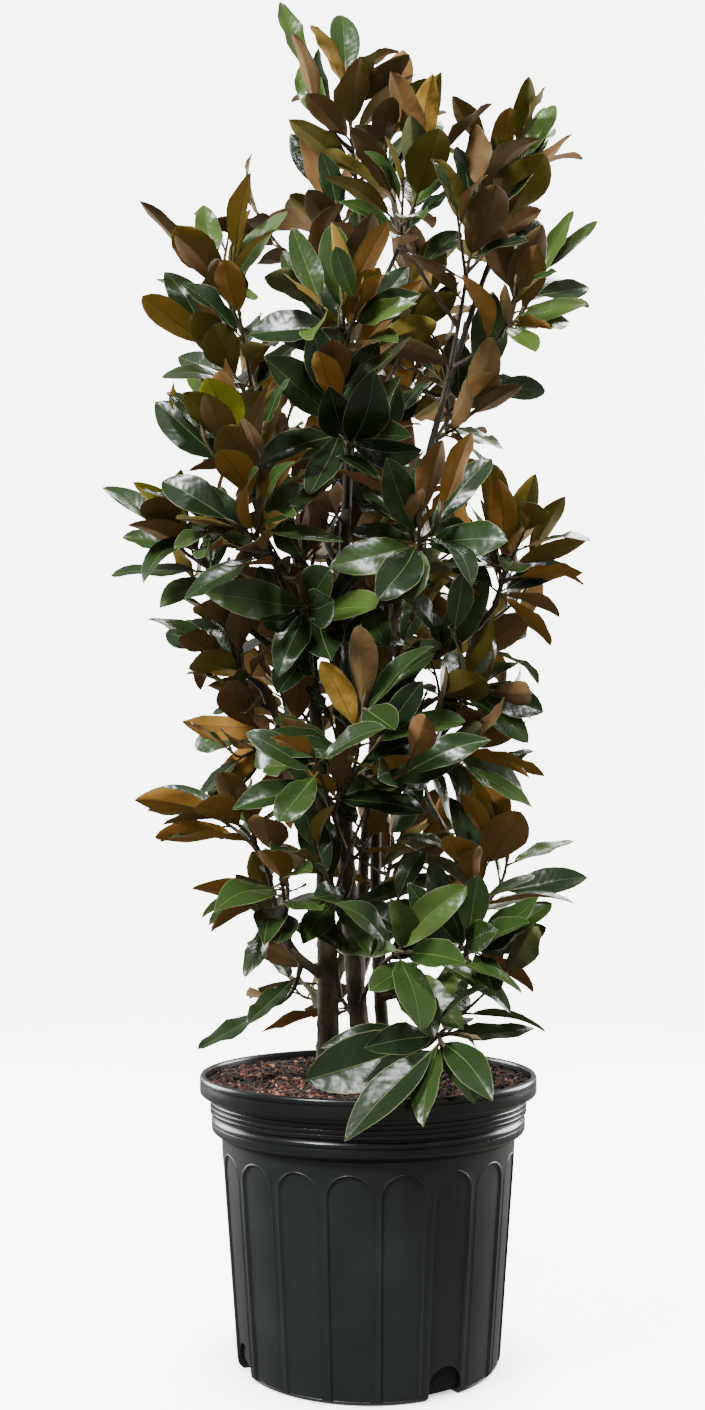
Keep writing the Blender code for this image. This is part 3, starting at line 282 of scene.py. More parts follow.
# Leaves posed one by one: number on the mass, turn about the shoot, lean away from it and roll, in
# degrees, length and width in millimetres, and the colour that it shows.
POSED = {
    "top": "0 -92 89 8 100 34 rust, 1 -71 3 140 106 45 mid, 2 -154 57 -40 118 36 ochre, "
        "3 -85 71 -27 116 36 brown, 4 -114 57 23 114 36 olive, 5 -127 53 14 112 51 rust, "
        "6 174 65 8 122 36 rust, 8 -114 68 18 117 43 olive, 9 -141 107 11 100 43 brown, "
        "10 131 10 -50 113 36 fresh, 11 -110 35 -83 119 36 rust",
    "top_right": "5 -131 37 23 109 61 olive, 7 -135 71 20 100 39 brown",
    "top_left": "1 179 32 -130 116 47 deep, 6 -177 70 -2 103 36 olive, 8 -143 89 -33 100 36 brown, "
        "9 -160 87 -18 100 36 brown",
    "top_back": "6 -76 25 98 118 36 deep",
    "right_leader_tip": "0 -141 53 43 114 36 olive, 1 -8 14 -1 100 36 fresh, "
        "3 -99 57 19 116 34 cinnamon, 6 -117 44 -4 116 62 olive, 7 -163 60 -22 100 36 rust, "
        "8 -119 66 0 115 36 cinnamon",
    "right_leader_inner": "3 104 16 -31 116 36 deep, 7 -164 47 -4 118 36 brown, "
        "8 -26 64 25 100 34 deep, 9 -9 78 45 100 36 dark",
    "right_leader_outer": "0 -38 32 38 112 36 mid, 1 -6 10 6 116 36 fresh, 2 -8 53 43 100 36 dark, "
        "5 170 68 8 100 36 cinnamon, 6 122 60 -10 100 36 brown, 8 -175 55 15 131 45 brown",
    "right_upper": "0 -99 19 48 100 37 dark, 1 52 49 -80 150 58 dark, 3 44 43 -80 112 49 deep, "
        "5 -68 90 53 100 34 pale_green",
    "left_leader_tip": "0 34 31 39 100 38 fresh, 2 -163 31 7 107 53 cinnamon, "
        "5 -116 38 -49 100 56 brown, 7 -125 23 35 119 36 ochre, 9 -178 51 -14 131 36 pale_green, "
        "10 -151 57 -48 125 34 brown",
    "left_leader_outer": "1 15 19 60 121 47 deep, 2 -161 29 7 131 44 ochre, "
        "4 88 50 -30 100 36 dark, 8 -138 87 -42 100 36 dark",
    "front_high": "0 -81 36 -24 119 36 cinnamon, 1 -134 12 -66 122 36 ochre, "
        "3 -101 50 -7 114 44 deep, 5 141 46 -79 141 36 cinnamon, 6 -75 68 -19 115 47 dark, "
        "7 -155 29 50 105 46 brown, 9 -15 29 42 109 41 deep, 10 41 25 26 110 37 mid",
    "front_centre": "1 24 15 0 100 38 cinnamon",
    "front_left_upper": "1 -141 28 -16 102 57 yellow, 8 -123 53 41 117 36 olive, "
        "9 -173 78 17 100 61 rust, 10 63 33 29 100 36 deep, 11 171 41 52 132 60 deep, "
        "12 0 37 -26 100 36 brown",
    "front_left_lower": "0 -77 56 29 112 48 deep",
    "left_edge": "0 -155 53 17 100 42 rust, 1 -168 22 3 108 36 yellow, 2 123 55 -39 100 36 mid, "
        "4 124 61 -15 132 34 dark, 5 -172 82 -52 100 36 pale_green, 7 167 20 -84 114 36 dark",
    "front_right_upper": "0 -83 15 -32 110 36 rust, 1 -97 75 8 100 36 dark, "
        "3 -29 72 11 116 49 mid, 5 -65 113 38 100 36 dark, 6 35 52 19 100 41 pale_green, "
        "7 -130 13 33 115 36 cinnamon, 8 -163 61 -39 130 40 deep, 9 163 98 -12 100 37 dark",
    "right_edge": "0 -145 27 33 115 37 olive, 1 -77 55 -16 117 36 olive, 3 -37 48 64 100 37 deep, "
        "4 103 68 -60 100 37 dark, 5 -26 111 -16 100 36 cinnamon, 6 -13 85 -23 100 34 rust, "
        "7 -129 45 40 104 36 olive, 9 161 58 39 104 34 cinnamon, 10 -142 6 -26 113 39 olive, "
        "11 -16 12 -103 127 36 cinnamon",
    "left_mid": "0 87 63 -18 100 37 deep, 5 -124 108 52 100 36 cinnamon, 7 -142 52 2 100 43 rust",
    "left_mid_low": "3 84 131 109 116 55 mid, 7 -178 25 68 100 38 mid",
    "front_mid_left": "5 -81 68 11 114 36 dark, 6 -143 123 12 100 36 dark",
    "front_mid": "0 -122 69 29 100 40 dark, 1 56 22 138 115 37 brown, 2 -128 51 24 116 36 deep, "
        "3 -94 40 112 108 36 ochre, 9 -121 27 162 100 36 cinnamon",
    "right_mid": "0 -9 57 -100 100 36 pale_green, 1 -173 33 105 105 43 deep, "
        "8 -108 28 25 112 36 mid",
    "right_mid_low": "0 -93 47 -66 110 34 cinnamon, 7 91 55 -18 112 36 mid",
    "front_lower": "0 -5 25 48 100 36 cinnamon, 1 -74 116 2 100 36 mid, 2 18 71 -9 100 40 mid, "
        "6 156 95 10 115 41 mid, 9 167 18 97 100 36 brown",
    "front_lower_left": "6 26 65 -17 100 36 mid, 7 64 106 -14 100 36 dark",
    "left_low": "0 -50 9 60 114 36 cinnamon, 2 86 42 -84 100 42 rust, 6 -101 90 -84 100 37 rust, "
        "8 9 51 11 115 36 cinnamon",
    "left_low_front": "0 -27 112 98 107 36 rust, 2 -45 66 95 119 36 cinnamon, "
        "6 90 144 50 100 36 brown, 7 72 41 -82 100 52 rust",
    "left_lowest": "0 29 64 -114 125 36 dark, 4 -12 61 -174 100 36 dark",
    "right_low": "1 8 95 28 118 36 fresh, 4 26 52 58 100 36 mid, 5 152 88 -8 109 36 mid, "
        "6 -68 119 38 100 36 mid, 7 6 58 -22 100 36 mid, 8 115 81 -95 100 34 rust, "
        "9 7 39 49 100 36 mid",
    "right_low_upright": "0 -171 49 -2 100 36 cinnamon, 2 -110 34 -11 100 59 rust, "
        "3 112 34 -42 119 36 mid, 6 124 103 -64 132 36 fresh, 7 -36 59 29 100 34 fresh, "
        "8 -64 44 106 128 40 dark",
    "front_low": "0 -54 139 40 100 36 pale_green, 8 150 93 50 100 36 mid",
    "front_lowest": "0 -12 56 44 168 46 deep, 1 20 43 46 118 36 mid, 2 -30 77 21 166 66 deep, "
        "3 72 44 -17 105 37 mid, 4 140 96 -51 125 36 pale_green, 5 -41 78 23 140 42 deep, "
        "8 161 116 -79 100 36 dark, 9 -180 125 -18 100 36 mid",
    "back_lowest": "2 103 27 29 100 36 dark",
}

# Leaves left out where the crown is open, by number on the mass.
LEFT_OUT = {
    "top_right": (4,), "right_leader_tip": (4, 9), "right_leader_inner": (5,),
    "right_upper": (2,), "left_leader_tip": (12,), "left_leader_outer": (0,),
    "left_mid": (2,), "left_mid_low": (0,), "front_lower": (3, 5),
    "front_lower_left": (3, 4, 8, 9), "left_low": (4, 5),
    "left_lowest": (1, 3, 6), "front_low": (4, 6, 9), "front_lowest": (6, 7),
}


# Materials

def join(tree, item, inputs):
    """Gives inputs of a node their plain values or links them to outputs of other nodes."""
    for name, value in inputs.items():
        if isinstance(value, bpy.types.NodeSocket):
            tree.links.new(value, item.inputs[name])
        else:
            item.inputs[name].default_value = value


def add(tree, kind, inputs, output=0, **settings):
    """One output of a new node with the given inputs and settings."""
    item = tree.nodes.new("ShaderNode" + kind)
    for name, value in settings.items():
        setattr(item, name, value)
    join(tree, item, inputs)
    return item.outputs[output]


def shader_of(name, inputs):
    material = bpy.data.materials.new(name)
    material.use_nodes = True
    tree = material.node_tree
    join(tree, tree.nodes["Principled BSDF"], inputs)
    return material, tree, tree.nodes["Principled BSDF"]


def math_node(tree, operation, first, second=0.0):
    return add(tree, "Math", {0: first, 1: second}, operation=operation)


def span(tree, value, start, end, low, high):
    """Runs from low to high while a value runs from start to end."""
    return add(tree, "MapRange", {"Value": value, "From Min": start, "From Max": end,
                                  "To Min": low, "To Max": high})


def height_in(tree, space="Object"):
    return add(tree, "SeparateXYZ", {0: add(tree, "TexCoord", {}, space)}, "Z")


def ramp(tree, source, stops):
    item = tree.nodes.new("ShaderNodeValToRGB")
    while len(item.color_ramp.elements) < len(stops):
        item.color_ramp.elements.new(0.5)
    for element, (place, colour) in zip(item.color_ramp.elements, stops):
        element.position = place
        element.color = (*colour, 1.0)
    join(tree, item, {"Fac": source})
    return item.outputs["Color"]


def noise_of(tree, scale, detail=4.0, rough=0.55, stretch=None):
    """Noise laid out in the object's own coordinates, in metres."""
    place = add(tree, "TexCoord", {}, "Object")
    if stretch:
        place = add(tree, "Mapping", {"Scale": stretch, "Vector": place})
    inputs = {"Scale": scale, "Detail": detail, "Roughness": rough, "Vector": place}
    return add(tree, "TexNoise", inputs, "Fac")


def bump(tree, shader, height, strength, distance):
    inputs = {"Strength": strength, "Distance": distance, "Height": height}
    join(tree, shader, {"Normal": add(tree, "Bump", inputs)})


VEINS = 11
VEIN_SLANT = 0.34
VEIN_RELIEF = 0.35
GRAIN_RELIEF = 0.35
RIPPLE_RELIEF = 18.0
LEAF_RELIEF = 0.00045


def leaf_face(name, colour, roughness, felt=0.0):
    """A plain colour for one side of a leaf, with side veins, slow ripples and a fine grain."""
    material, tree, shader = shader_of(name, {
        "Base Color": (*colour, 1.0), "Roughness": roughness,
        "Specular IOR Level": 0.16 if felt else 0.32, "Sheen Weight": felt,
        "Sheen Roughness": 0.45, "Sheen Tint": (1.0, 0.78, 0.55, 1.0)})
    place = add(tree, "UVMap", {}, uv_map="leaf")
    along, across = (add(tree, "SeparateXYZ", {0: place}, axis) for axis in "XY")
    aside = math_node(tree, "ABSOLUTE", math_node(tree, "SUBTRACT", across, 0.5))
    slanted = math_node(tree, "SUBTRACT", along, math_node(tree, "MULTIPLY", aside, VEIN_SLANT))
    veins = math_node(tree, "SINE", math_node(tree, "MULTIPLY", slanted, 2 * math.pi * VEINS))
    grain = noise_of(tree, 420.0 if felt else 230.0, 2.0)
    ripples = noise_of(tree, 52.0, 1.5)
    height = 0.0
    for relief, share in ((veins, VEIN_RELIEF), (grain, GRAIN_RELIEF), (ripples, RIPPLE_RELIEF)):
        height = math_node(tree, "ADD", height, math_node(tree, "MULTIPLY", relief, share))
    bump(tree, shader, height, 0.20, LEAF_RELIEF)
    return material


UPPERS = (
    ("upper_deep", (0.0100, 0.0215, 0.0070)),
    ("upper_dark", (0.0150, 0.0330, 0.0090)),
    ("upper_mid", (0.0240, 0.0500, 0.0110)),
    ("upper_fresh", (0.0470, 0.0850, 0.0160)),
    # Painted backlight: light shining through a young leaf, painted as yellow.
    ("upper_yellow", (0.3900, 0.3700, 0.0160)),
    ("upper_bronze", (0.0660, 0.0470, 0.0110)),
    # Painted sheen: a dark leaf's grey-green gloss, painted as a pale colour.
    ("upper_pale_green", (0.0560, 0.0880, 0.0330)),
)
UNDERS = (
    ("under_rust", (0.1900, 0.0980, 0.0320)),
    ("under_cinnamon", (0.2900, 0.1450, 0.0280)),
    ("under_ochre", (0.3600, 0.2150, 0.0360)),
    ("under_olive", (0.1600, 0.1200, 0.0180)),
    ("under_brown", (0.1300, 0.0760, 0.0290)),
    ("under_pale", (0.0800, 0.0900, 0.0320)),
    # Painted backlight: the same light through a young leaf, painted on its under face.
    ("under_yellow", (0.3900, 0.3600, 0.0160)),
)


def leaf_materials():
    """All leaf colours in the order that the leaf mesh numbers them."""
    # The pale margin colour is a painted highlight along each leaf's edge.
    finer = (("leaf_margin", (0.115, 0.125, 0.052), 0.45),
             ("leaf_midrib", (0.080, 0.115, 0.030), 0.40),
             ("leaf_stalk", (0.085, 0.065, 0.020), 0.60))
    return ([leaf_face(name, colour, 0.27) for name, colour in UPPERS]
            + [leaf_face(name, colour, 0.75, felt=0.04) for name, colour in UNDERS]
            + [leaf_face(*row) for row in finer])


MARGIN_PAINTED_HIGHLIGHT, MIDRIB, STALK = (len(UPPERS) + len(UNDERS) + k for k in range(3))


def twig_material(name, dark, light, roughness):
    material, tree, shader = shader_of(name, {"Roughness": roughness})
    patches = ramp(tree, noise_of(tree, 160.0, 5.0), ((0.35, dark), (0.65, light)))
    join(tree, shader, {"Base Color": patches})
    bump(tree, shader, noise_of(tree, 900.0, 3.0), 0.4, 0.0004)
    return material


def bark_material():
    """Bark in pale and dark patches with fine upright cracks, and painted shade that darkens it
    higher up in the crown.
    """
    material, tree, shader = shader_of("stem_bark_finish", {})
    patches = noise_of(tree, 38.0, 6.0, 0.62)
    colour = ramp(tree, patches, ((0.30, (0.022, 0.016, 0.008)), (0.50, (0.052, 0.039, 0.020)),
                                  (0.68, (0.112, 0.088, 0.050))))
    # Painted shade: the bark darkens from 0.55 m to 1.15 m up, inside the crown.
    painted_crown_shade = span(tree, height_in(tree), 0.55, 1.15, 1.0, 0.38)
    join(tree, shader, {
        "Base Color": add(tree, "VectorMath", {0: colour, "Scale": painted_crown_shade}, operation="SCALE"),
        "Roughness": span(tree, patches, 0.0, 1.0, 0.72, 0.92)})
    bump(tree, shader, noise_of(tree, 300.0, 5.0, 0.6, (1.0, 1.0, 0.22)), 0.7, 0.0012)
    return material


# Heights over which the rim takes its painted shade and its smoother roughness.
RIM_SHADE_AND_POLISH = (0.268, 0.300)


def plastic_material():
    """Moulded black plastic: a faint grain and a soft uneven sheen, smoother at the rim, with
    painted shade that darkens the rim."""
    material, tree, shader = shader_of("pot_plastic_finish", {"Specular IOR Level": 0.40})
    height = height_in(tree)
    cloud = noise_of(tree, 9.0, 5.0)
    colour = ramp(tree, cloud, ((0.35, (0.0084, 0.0106, 0.0120)), (0.70, (0.0140, 0.0172, 0.0192))))
    # Painted shade: the plastic's colour darkens towards the rim.
    shade = ramp(tree, height, ((RIM_SHADE_AND_POLISH[0], (1.0, 1.0, 1.0)), (RIM_SHADE_AND_POLISH[1], (0.46, 0.46, 0.48))))
    rough = span(tree, cloud, 0.3, 0.7, 0.36, 0.48)
    join(tree, shader, {
        "Base Color": add(tree, "VectorMath", {0: colour, 1: shade}, operation="MULTIPLY"),
        "Roughness": math_node(tree, "SUBTRACT", rough, span(tree, height, *RIM_SHADE_AND_POLISH, 0.0, 0.16))})
    bump(tree, shader, noise_of(tree, 700.0, 3.0), 0.12, 0.0003)
    return material


CHIPS = (
    ("chip_red", (0.150, 0.045, 0.026)),
    ("chip_brown", (0.040, 0.016, 0.010)),
    ("chip_dark", (0.0045, 0.0030, 0.0024)),
    ("chip_tan", (0.380, 0.190, 0.110)),
)


def chip_material(name, colour):
    material, tree, shader = shader_of(name, {"Base Color": (*colour, 1.0), "Roughness": 0.85})
    bump(tree, shader, noise_of(tree, 900.0, 3.0), 0.6, 0.0008)
    return material


def bed_material():
    """Dark damp mix, with painted shade that darkens it below the top of the pot's wall."""
    material, tree, shader = shader_of("mix_bed", {"Roughness": 0.92})
    patches = noise_of(tree, 240.0, 5.0, 0.65)
    light = ramp(tree, patches, ((0.35, (0.003, 0.002, 0.002)), (0.70, (0.022, 0.009, 0.006))))
    # Painted shade: the mix darkens below the top of the pot's wall, inside the pot.
    depth = ramp(tree, height_in(tree), ((0.28, (0.03, 0.03, 0.03)), (0.33, (1.0, 1.0, 1.0))))
    damp_colour_with_painted_shade = add(tree, "VectorMath", {0: light, 1: depth}, operation="MULTIPLY")
    join(tree, shader, {"Base Color": damp_colour_with_painted_shade})
    bump(tree, shader, noise_of(tree, 420.0, 4.0), 0.8, 0.002)
    return material


# Meshes

def show(item):
    bpy.context.scene.collection.objects.link(item)
    return item


def new_piece(name, points, faces, materials, indices=None, smooth=38):
    mesh = bpy.data.meshes.new(name)
    mesh.from_pydata([tuple(p) for p in points], [], [tuple(f) for f in faces])
    for material in materials:
        mesh.materials.append(material)
    if indices is not None:
        mesh.polygons.foreach_set("material_index", np.asarray(indices, np.int32))
    mesh.update()
    if smooth:
        mesh.shade_smooth()
        mesh.set_sharp_from_angle(angle=math.radians(smooth))
    return show(bpy.data.objects.new(name, mesh))


def dress(item, slot, *nodes):
    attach(item, "root")
    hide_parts(*nodes)


class Heap:
    """Points, faces and material numbers of many small shapes that become one mesh."""

    def __init__(self):
        self.points, self.faces, self.indices = [], [], []

    def add(self, points, faces, index):
        base = len(self.points)
        self.points.extend(points)
        self.faces.extend(tuple(base + k for k in face) for face in faces)
        if isinstance(index, int):
            index = [index] * len(faces)
        self.indices.extend(index)


def polar(azimuth, reach, height):
    angle = math.radians(azimuth)
    return Vector((reach * math.cos(angle), reach * math.sin(angle), height))


def circle(radius, height, sides, phase=0.0):
    return [polar(phase + 360 * side / sides, radius, height) for side in range(sides)]


def ring_faces(rings, sides, first=0):
    """Faces between rings of points that follow each other, counted from a first point."""
    return [(low + side, low + after, low + sides + after, low + sides + side)
            for low in range(first, first + (rings - 1) * sides, sides)
            for side, after in zip(range(sides), [*range(1, sides), 0])]


def loft(rings):
    """Points and faces of a closed skin through rings of points: its sides, then its two ends."""
    sides = len(rings[0])
    points = [point for ring in rings for point in ring]
    ends = [tuple(range(sides - 1, -1, -1)), tuple(range(len(points) - sides, len(points)))]
    return points, ring_faces(len(rings), sides) + ends


# Growth by the rule of the source

def bezier(knots, t):
    """A point on the curve of any degree through its control knots."""
    level = [Vector(k) for k in knots]
    while len(level) > 1:
        level = [a.lerp(b, t) for a, b in zip(level, level[1:])]
    return level[0]


def heading_at(knots, t, step=0.05):
    ahead, behind = bezier(knots, min(t + step, 1.0)), bezier(knots, max(t - step, 0.0))
    return (ahead - behind).normalized()


def spokes_along(headings, sides):
    """Rings of unit spokes across each heading in turn, carried along without a twist."""
    turns = [2 * math.pi * side / sides for side in range(sides)]
    across = Vector((1, 0, 0))
    for along in headings:
        across = (across - along * across.dot(along)).normalized()
        upright = along.cross(across)
        yield [across * math.cos(turn) + upright * math.sin(turn) for turn in turns]


def tube(run, radii, sides):
    """A closed tube along a run of points: its flat ends, then its sides."""
    headings = [(b - a).normalized() for a, b in zip(run[:1] + run[:-1], run[1:] + run[-1:])]
    rings = [[centre + spoke * radius for spoke in spokes]
             for centre, radius, spokes in zip(run, radii, spokes_along(headings, sides))]
    points, faces = loft(rings)
    return points, faces[-2:] + faces[:-2]


def stem_radius(stem, t, rise):
    """A stem's radius at a share of its run and a rise above the mix: tapered and flared."""
    radius = stem.base_radius + (stem.tip_radius - stem.base_radius) * t ** STEM_TAPER
    return radius * (1 + FLARE * math.exp(-rise / FLARE_HEIGHT))


def stem_shape(stem):
    """Knots, run and radii of a stem, level at the ground and flared there."""
    ground = Vector((*stem.base, GROUND + CLEAR))
    knots = (ground, stem.lower, stem.upper, stem.tip)
    shares = [0.0, 0.011, 0.028] + [0.06 + 0.94 * k / STEM_STEPS for k in range(STEM_STEPS + 1)]
    run = [bezier(knots, t) for t in shares]
    return knots, run, [stem_radius(stem, t, p.z - ground.z) for t, p in zip(shares, run)]


def bough_knots(start, tip):
    """A bough leaves its limb outwards and turns up towards its tip."""
    lift = Vector((0, 0, BOUGH_LIFT * (tip - start).length))
    return (start, tip - lift - (tip - start) * BOUGH_PULL, tip)


Limb = namedtuple("Limb", "name knots run radii sides")


def limb_room(limb):
    """The room that a limb takes, with clearance for leaves all round."""
    run = list(limb.run)
    run[-1] = run[-1] + (run[-1] - run[-2]).normalized() * LEAF_GAP
    return tree_of(tube(run, [radius + LEAF_GAP for radius in limb.radii], limb.sides))


def body_radius(height):
    """Outer radius of the tapered body between the foot and the plain band under the rim."""
    share = (height - FOOT_HEIGHT) / (BODY_TOP - FOOT_HEIGHT)
    return BODY_FOOT_RADIUS + share * (BODY_TOP_RADIUS - BODY_FOOT_RADIUS)


def shoot_axis(start, tip, rise, bearing):
    """Knots of a shoot that comes into its tip at the given slope."""
    slope = math.radians(rise)
    heading = Vector((math.cos(bearing) * math.cos(slope),
                      math.sin(bearing) * math.cos(slope), math.sin(slope)))
    return (start, tip - heading * (tip - start).length * SHOOT_PULL, tip)


def grow_shoot(knots, count, height_share, draw):
    """Where the leaves of one shoot stand, from the bud down, turned by the golden angle."""
    length = curve_length(knots, 8)
    outer = OUTER_ANGLE_LOW + (OUTER_ANGLE_HIGH - OUTER_ANGLE_LOW) * height_share
    first_turn = draw.uniform(0, 360)
    slots = []
    for index in range(count):
        share = index / (count - 1)
        t = max(1.0 - LEAFY_LENGTH * (0.05 + 0.95 * share) / length, 0.22)
        turn = first_turn + GOLDEN_ANGLE * index + draw.uniform(-TURN_JITTER, TURN_JITTER)
        lean = INNER_ANGLE + (outer - INNER_ANGLE) * share ** 0.9
        lean += draw.uniform(-LEAN_JITTER, LEAN_JITTER)
        sky = (1 - height_share) * 0.75 * share + 0.08
        size = draw.uniform(*LEAF_SIZES) * (0.74 + 0.26 * min(1.0, index / 3))
        slots.append(slot_on(knots, t, turn, lean, sky, size, draw))
    return slots


def leaf_in(slot, turn_shift, lean_shift):
    """A leaf in its slot: it leans out from the shoot and shows its upper face inwards."""
    spoke = Matrix.Rotation(math.radians(slot.turn + turn_shift), 3, slot.axis) @ slot.side
    lean = math.radians(slot.lean + lean_shift)
    along = slot.axis * math.cos(lean) + spoke * math.sin(lean)
    normal = slot.axis * math.sin(lean) - spoke * math.cos(lean) + Vector((0, 0, slot.sky))
    normal = (normal - along * normal.dot(along)).normalized()
    normal = Matrix.Rotation(math.radians(slot.roll), 3, along) @ normal
    return Leaf(slot.root, along, normal, slot.length, slot.width, slot.curl)


def posed_rows(name):
    """The rows of the posed leaves of a mass."""
    rows = [row.split() for row in POSED.get(name, "").split(",")]
    return [(*map(int, row[:6]), row[6]) for row in rows if row]


def posed_slots(name, slots):
    """The slots of a mass as (whether posed, slot), with its posed leaves first."""
    waiting = []
    posed = {row[0]: row[1:6] for row in posed_rows(name)}
    for number, slot in enumerate(slots):
        if number in posed:
            turn, lean, roll, length, width = posed[number]
            slot = slot._replace(turn=turn, lean=lean, roll=roll, sky=0.0, length=length / 1000,
                                 width=width / 1000, curl=POSED_CURL)
            waiting.append((True, slot))
        elif number not in LEFT_OUT.get(name, ()):
            waiting.append((False, slot))
    return sorted(waiting, key=lambda row: not row[0])


def grow_mass(mass, limbs, draw):
    """The shoots of one mass, as knots, and the leaves on each."""
    tip = polar(mass.azimuth, mass.reach, mass.height)
    start = bezier(limbs[mass.limb].knots, mass.at)
    outward = tip - start
    main = shoot_axis(start, tip, mass.rise, math.atan2(outward.y, outward.x))
    height_share = (mass.height - GROUND) / (MASSES[0].height - GROUND)
    shoots = [(main, grow_shoot(main, MAIN_LEAVES, height_share, draw))]
    for index in range(mass.sides):
        t = SIDE_SHOOT_AT[index] + draw.uniform(-0.04, 0.04)
        fork, axis = bezier(main, t), heading_at(main, t)
        level = Vector((0, 0, 1)).cross(axis).normalized()
        turn = math.radians(mass.turn + 180 * index + draw.uniform(-20, 20))
        spoke = Matrix.Rotation(turn, 3, axis) @ level
        run = (tip - fork).length * draw.uniform(0.80, 0.95) + 0.02
        end = fork + (axis * 0.80 + spoke * 0.62).normalized() * run
        side = shoot_axis(fork, end, mass.rise, math.atan2(end.y - fork.y, end.x - fork.x))
        shoots.append((side, grow_shoot(side, SIDE_LEAVES, height_share, draw)))
    return shoots


def shoot_room(knots, base_radius):
    """The room that a shoot takes, with clearance for leaves all round."""
    shares = [k / SHOOT_STEPS for k in range(SHOOT_STEPS + 1)]
    radii = [base_radius + (TWIG_TIP_RADIUS - base_radius) * t + LEAF_GAP for t in shares]
    return tree_of(tube([bezier(knots, t) for t in shares], radii, TWIG_SIDES))


def leaf_solid(leaf, extra=0.0, start=0.0):
    """A pointed blade with a keel: its outline, one crest above and one below."""
    across = leaf.along.cross(leaf.normal)
    half = leaf.width / 2 + extra
    crest = max(start, KEEL_SHARE)
    droop = -leaf.curl * leaf.length

    def place(share, side, lift):
        bend = droop * share * share * LEAF_BEND
        return (leaf.root + leaf.along * (share * leaf.length)
                + across * side + leaf.normal * (lift + bend))

    cup = leaf.width * LEAF_CUP
    points = [
        place(start, 0, 0),
        place(0.36, -half * 0.92, cup), place(0.36, half * 0.92, cup),
        place(0.70, -half * 0.84, cup), place(0.70, half * 0.84, cup),
        place(1.0 + extra / leaf.length, 0, 0),
        place(crest, 0, KEEL_HALF + extra), place(crest, 0, -KEEL_HALF - extra),
    ]
    faces = [(0, 1, 6), (6, 1, 3), (6, 3, 5), (6, 5, 4), (6, 4, 2), (6, 2, 0),
             (0, 7, 1), (7, 3, 1), (7, 5, 3), (7, 4, 5), (7, 2, 4), (7, 0, 2)]
    return points, faces


def tree_of(solid):
    points, faces = solid
    return BVHTree.FromPolygons([tuple(p) for p in points], faces)


def touches(tree, others):
    return any(tree.overlap(other) for other in others)


class Space:
    """What stands in the crown so far, so that each new leaf can be tried for room."""

    def __init__(self, fixed):
        self.fixed = fixed
        self.twigs = []
        self.cells = {}

    def add_twig(self, owner, place, tree):
        self.twigs.append((owner, place, tree))

    def cell(self, place):
        return tuple(int(math.floor(axis / LEAF_NEAR)) for axis in place)

    def add_leaf(self, owner, leaf):
        centre = leaf.root + leaf.along * leaf.length / 2
        row = (owner, centre, tree_of(leaf_solid(leaf)), tree_of(leaf_solid(leaf, 0.0, ROOT_SHARE)))
        self.cells.setdefault(self.cell(centre), []).append(row)

    def near(self, centre):
        x, y, z = self.cell(centre)
        for i in (x - 1, x, x + 1):
            for j in (y - 1, y, y + 1):
                for k in (z - 1, z, z + 1):
                    for row in self.cells.get((i, j, k), ()):
                        if (row[1] - centre).length < LEAF_NEAR:
                            yield row

    def has_room(self, owner, leaf):
        """Clear of limbs and other masses, and its blade clear of its own shoots and leaves."""
        centre = leaf.root + leaf.along * leaf.length / 2
        whole = tree_of(leaf_solid(leaf, LEAF_GAP))
        blade = tree_of(leaf_solid(leaf, LEAF_GAP, ROOT_SHARE))
        if touches(whole, self.fixed):
            return False
        for other, place, twig in self.twigs:
            part = blade if other == owner else whole
            if (place - centre).length <= NEAR and part.overlap(twig):
                return False
        for other, _, other_whole, other_blade in self.near(centre):
            if (blade.overlap(other_blade) if other == owner else whole.overlap(other_whole)):
                return False
        return True


def plan_foliage(limbs):
    """Shoots and leaves of every mass. A side shoot or leaf with no room is left out, and the
    leaves are dealt in turn so that the masses share the space."""
    limb_trees = [limb_room(limb) for limb in limbs.values()]
    rim = [circle(RIM_RADIUS, z, POT_SIDES, FLUTE_PHASE) for z in (GROUND - 0.1, POT_HEIGHT)]
    space = Space(limb_trees + [tree_of(loft(rim))])
    plans = []
    for index, mass in enumerate(MASSES):
        kept = []
        for knots, slots in grow_mass(mass, limbs, random.Random(SEED + mass.seed)):
            twig = shoot_room(knots, TWIG_RADIUS)
            foreign = [tree for owner, _, tree in space.twigs if owner != index]
            if kept and touches(twig, limb_trees + foreign):
                continue
            kept.append((knots, slots))
            space.add_twig(index, knots[1], twig)
        waiting = posed_slots(mass.name, [slot for _, slots in kept for slot in slots])
        plans.append({"mass": mass, "shoots": [knots for knots, _ in kept],
                      "waiting": waiting, "leaves": [], "slots": []})
    for posed in (True, False):
        for turn in range(MAIN_LEAVES + 2 * SIDE_LEAVES):
            for owner, plan in enumerate(plans):
                if turn < len(plan["waiting"]) and plan["waiting"][turn][0] == posed:
                    tries = POSED_TRIES if posed else TRIES
                    place_leaf(plan, owner, plan["waiting"][turn][1], space, tries)
    return plans, space


def place_leaf(plan, owner, slot, space, tries, reach=None):
    """Tries a leaf as it grows, then turned a little about its shoot, and skips it if need be."""
    for turn_shift, lean_shift in tries:
        leaf = leaf_in(slot, turn_shift, lean_shift)
        if reach and not reach.holds(leaf):
            continue
        if space.has_room(owner, leaf):
            plan["leaves"].append(leaf)
            plan["slots"].append(slot)
            space.add_leaf(owner, leaf)
            return True
    return False


# Growth carried on to finer twigs

def sight(place):
    """Where a place is seen from the front, as left-right and height on the plane of the axis."""
    share = CAMERA_PLACE[1] / (CAMERA_PLACE[1] - place.y)
    return (CAMERA_PLACE[0] + (place.x - CAMERA_PLACE[0]) * share,
            CAMERA_PLACE[2] + (place.z - CAMERA_PLACE[2]) * share)


def open_sky(place):
    """Whether a place stands before or behind one of the crown's openings."""
    x, z = sight(place)
    return any(math.hypot(x - row[0], z - row[1]) < row[2] for row in OPENINGS)


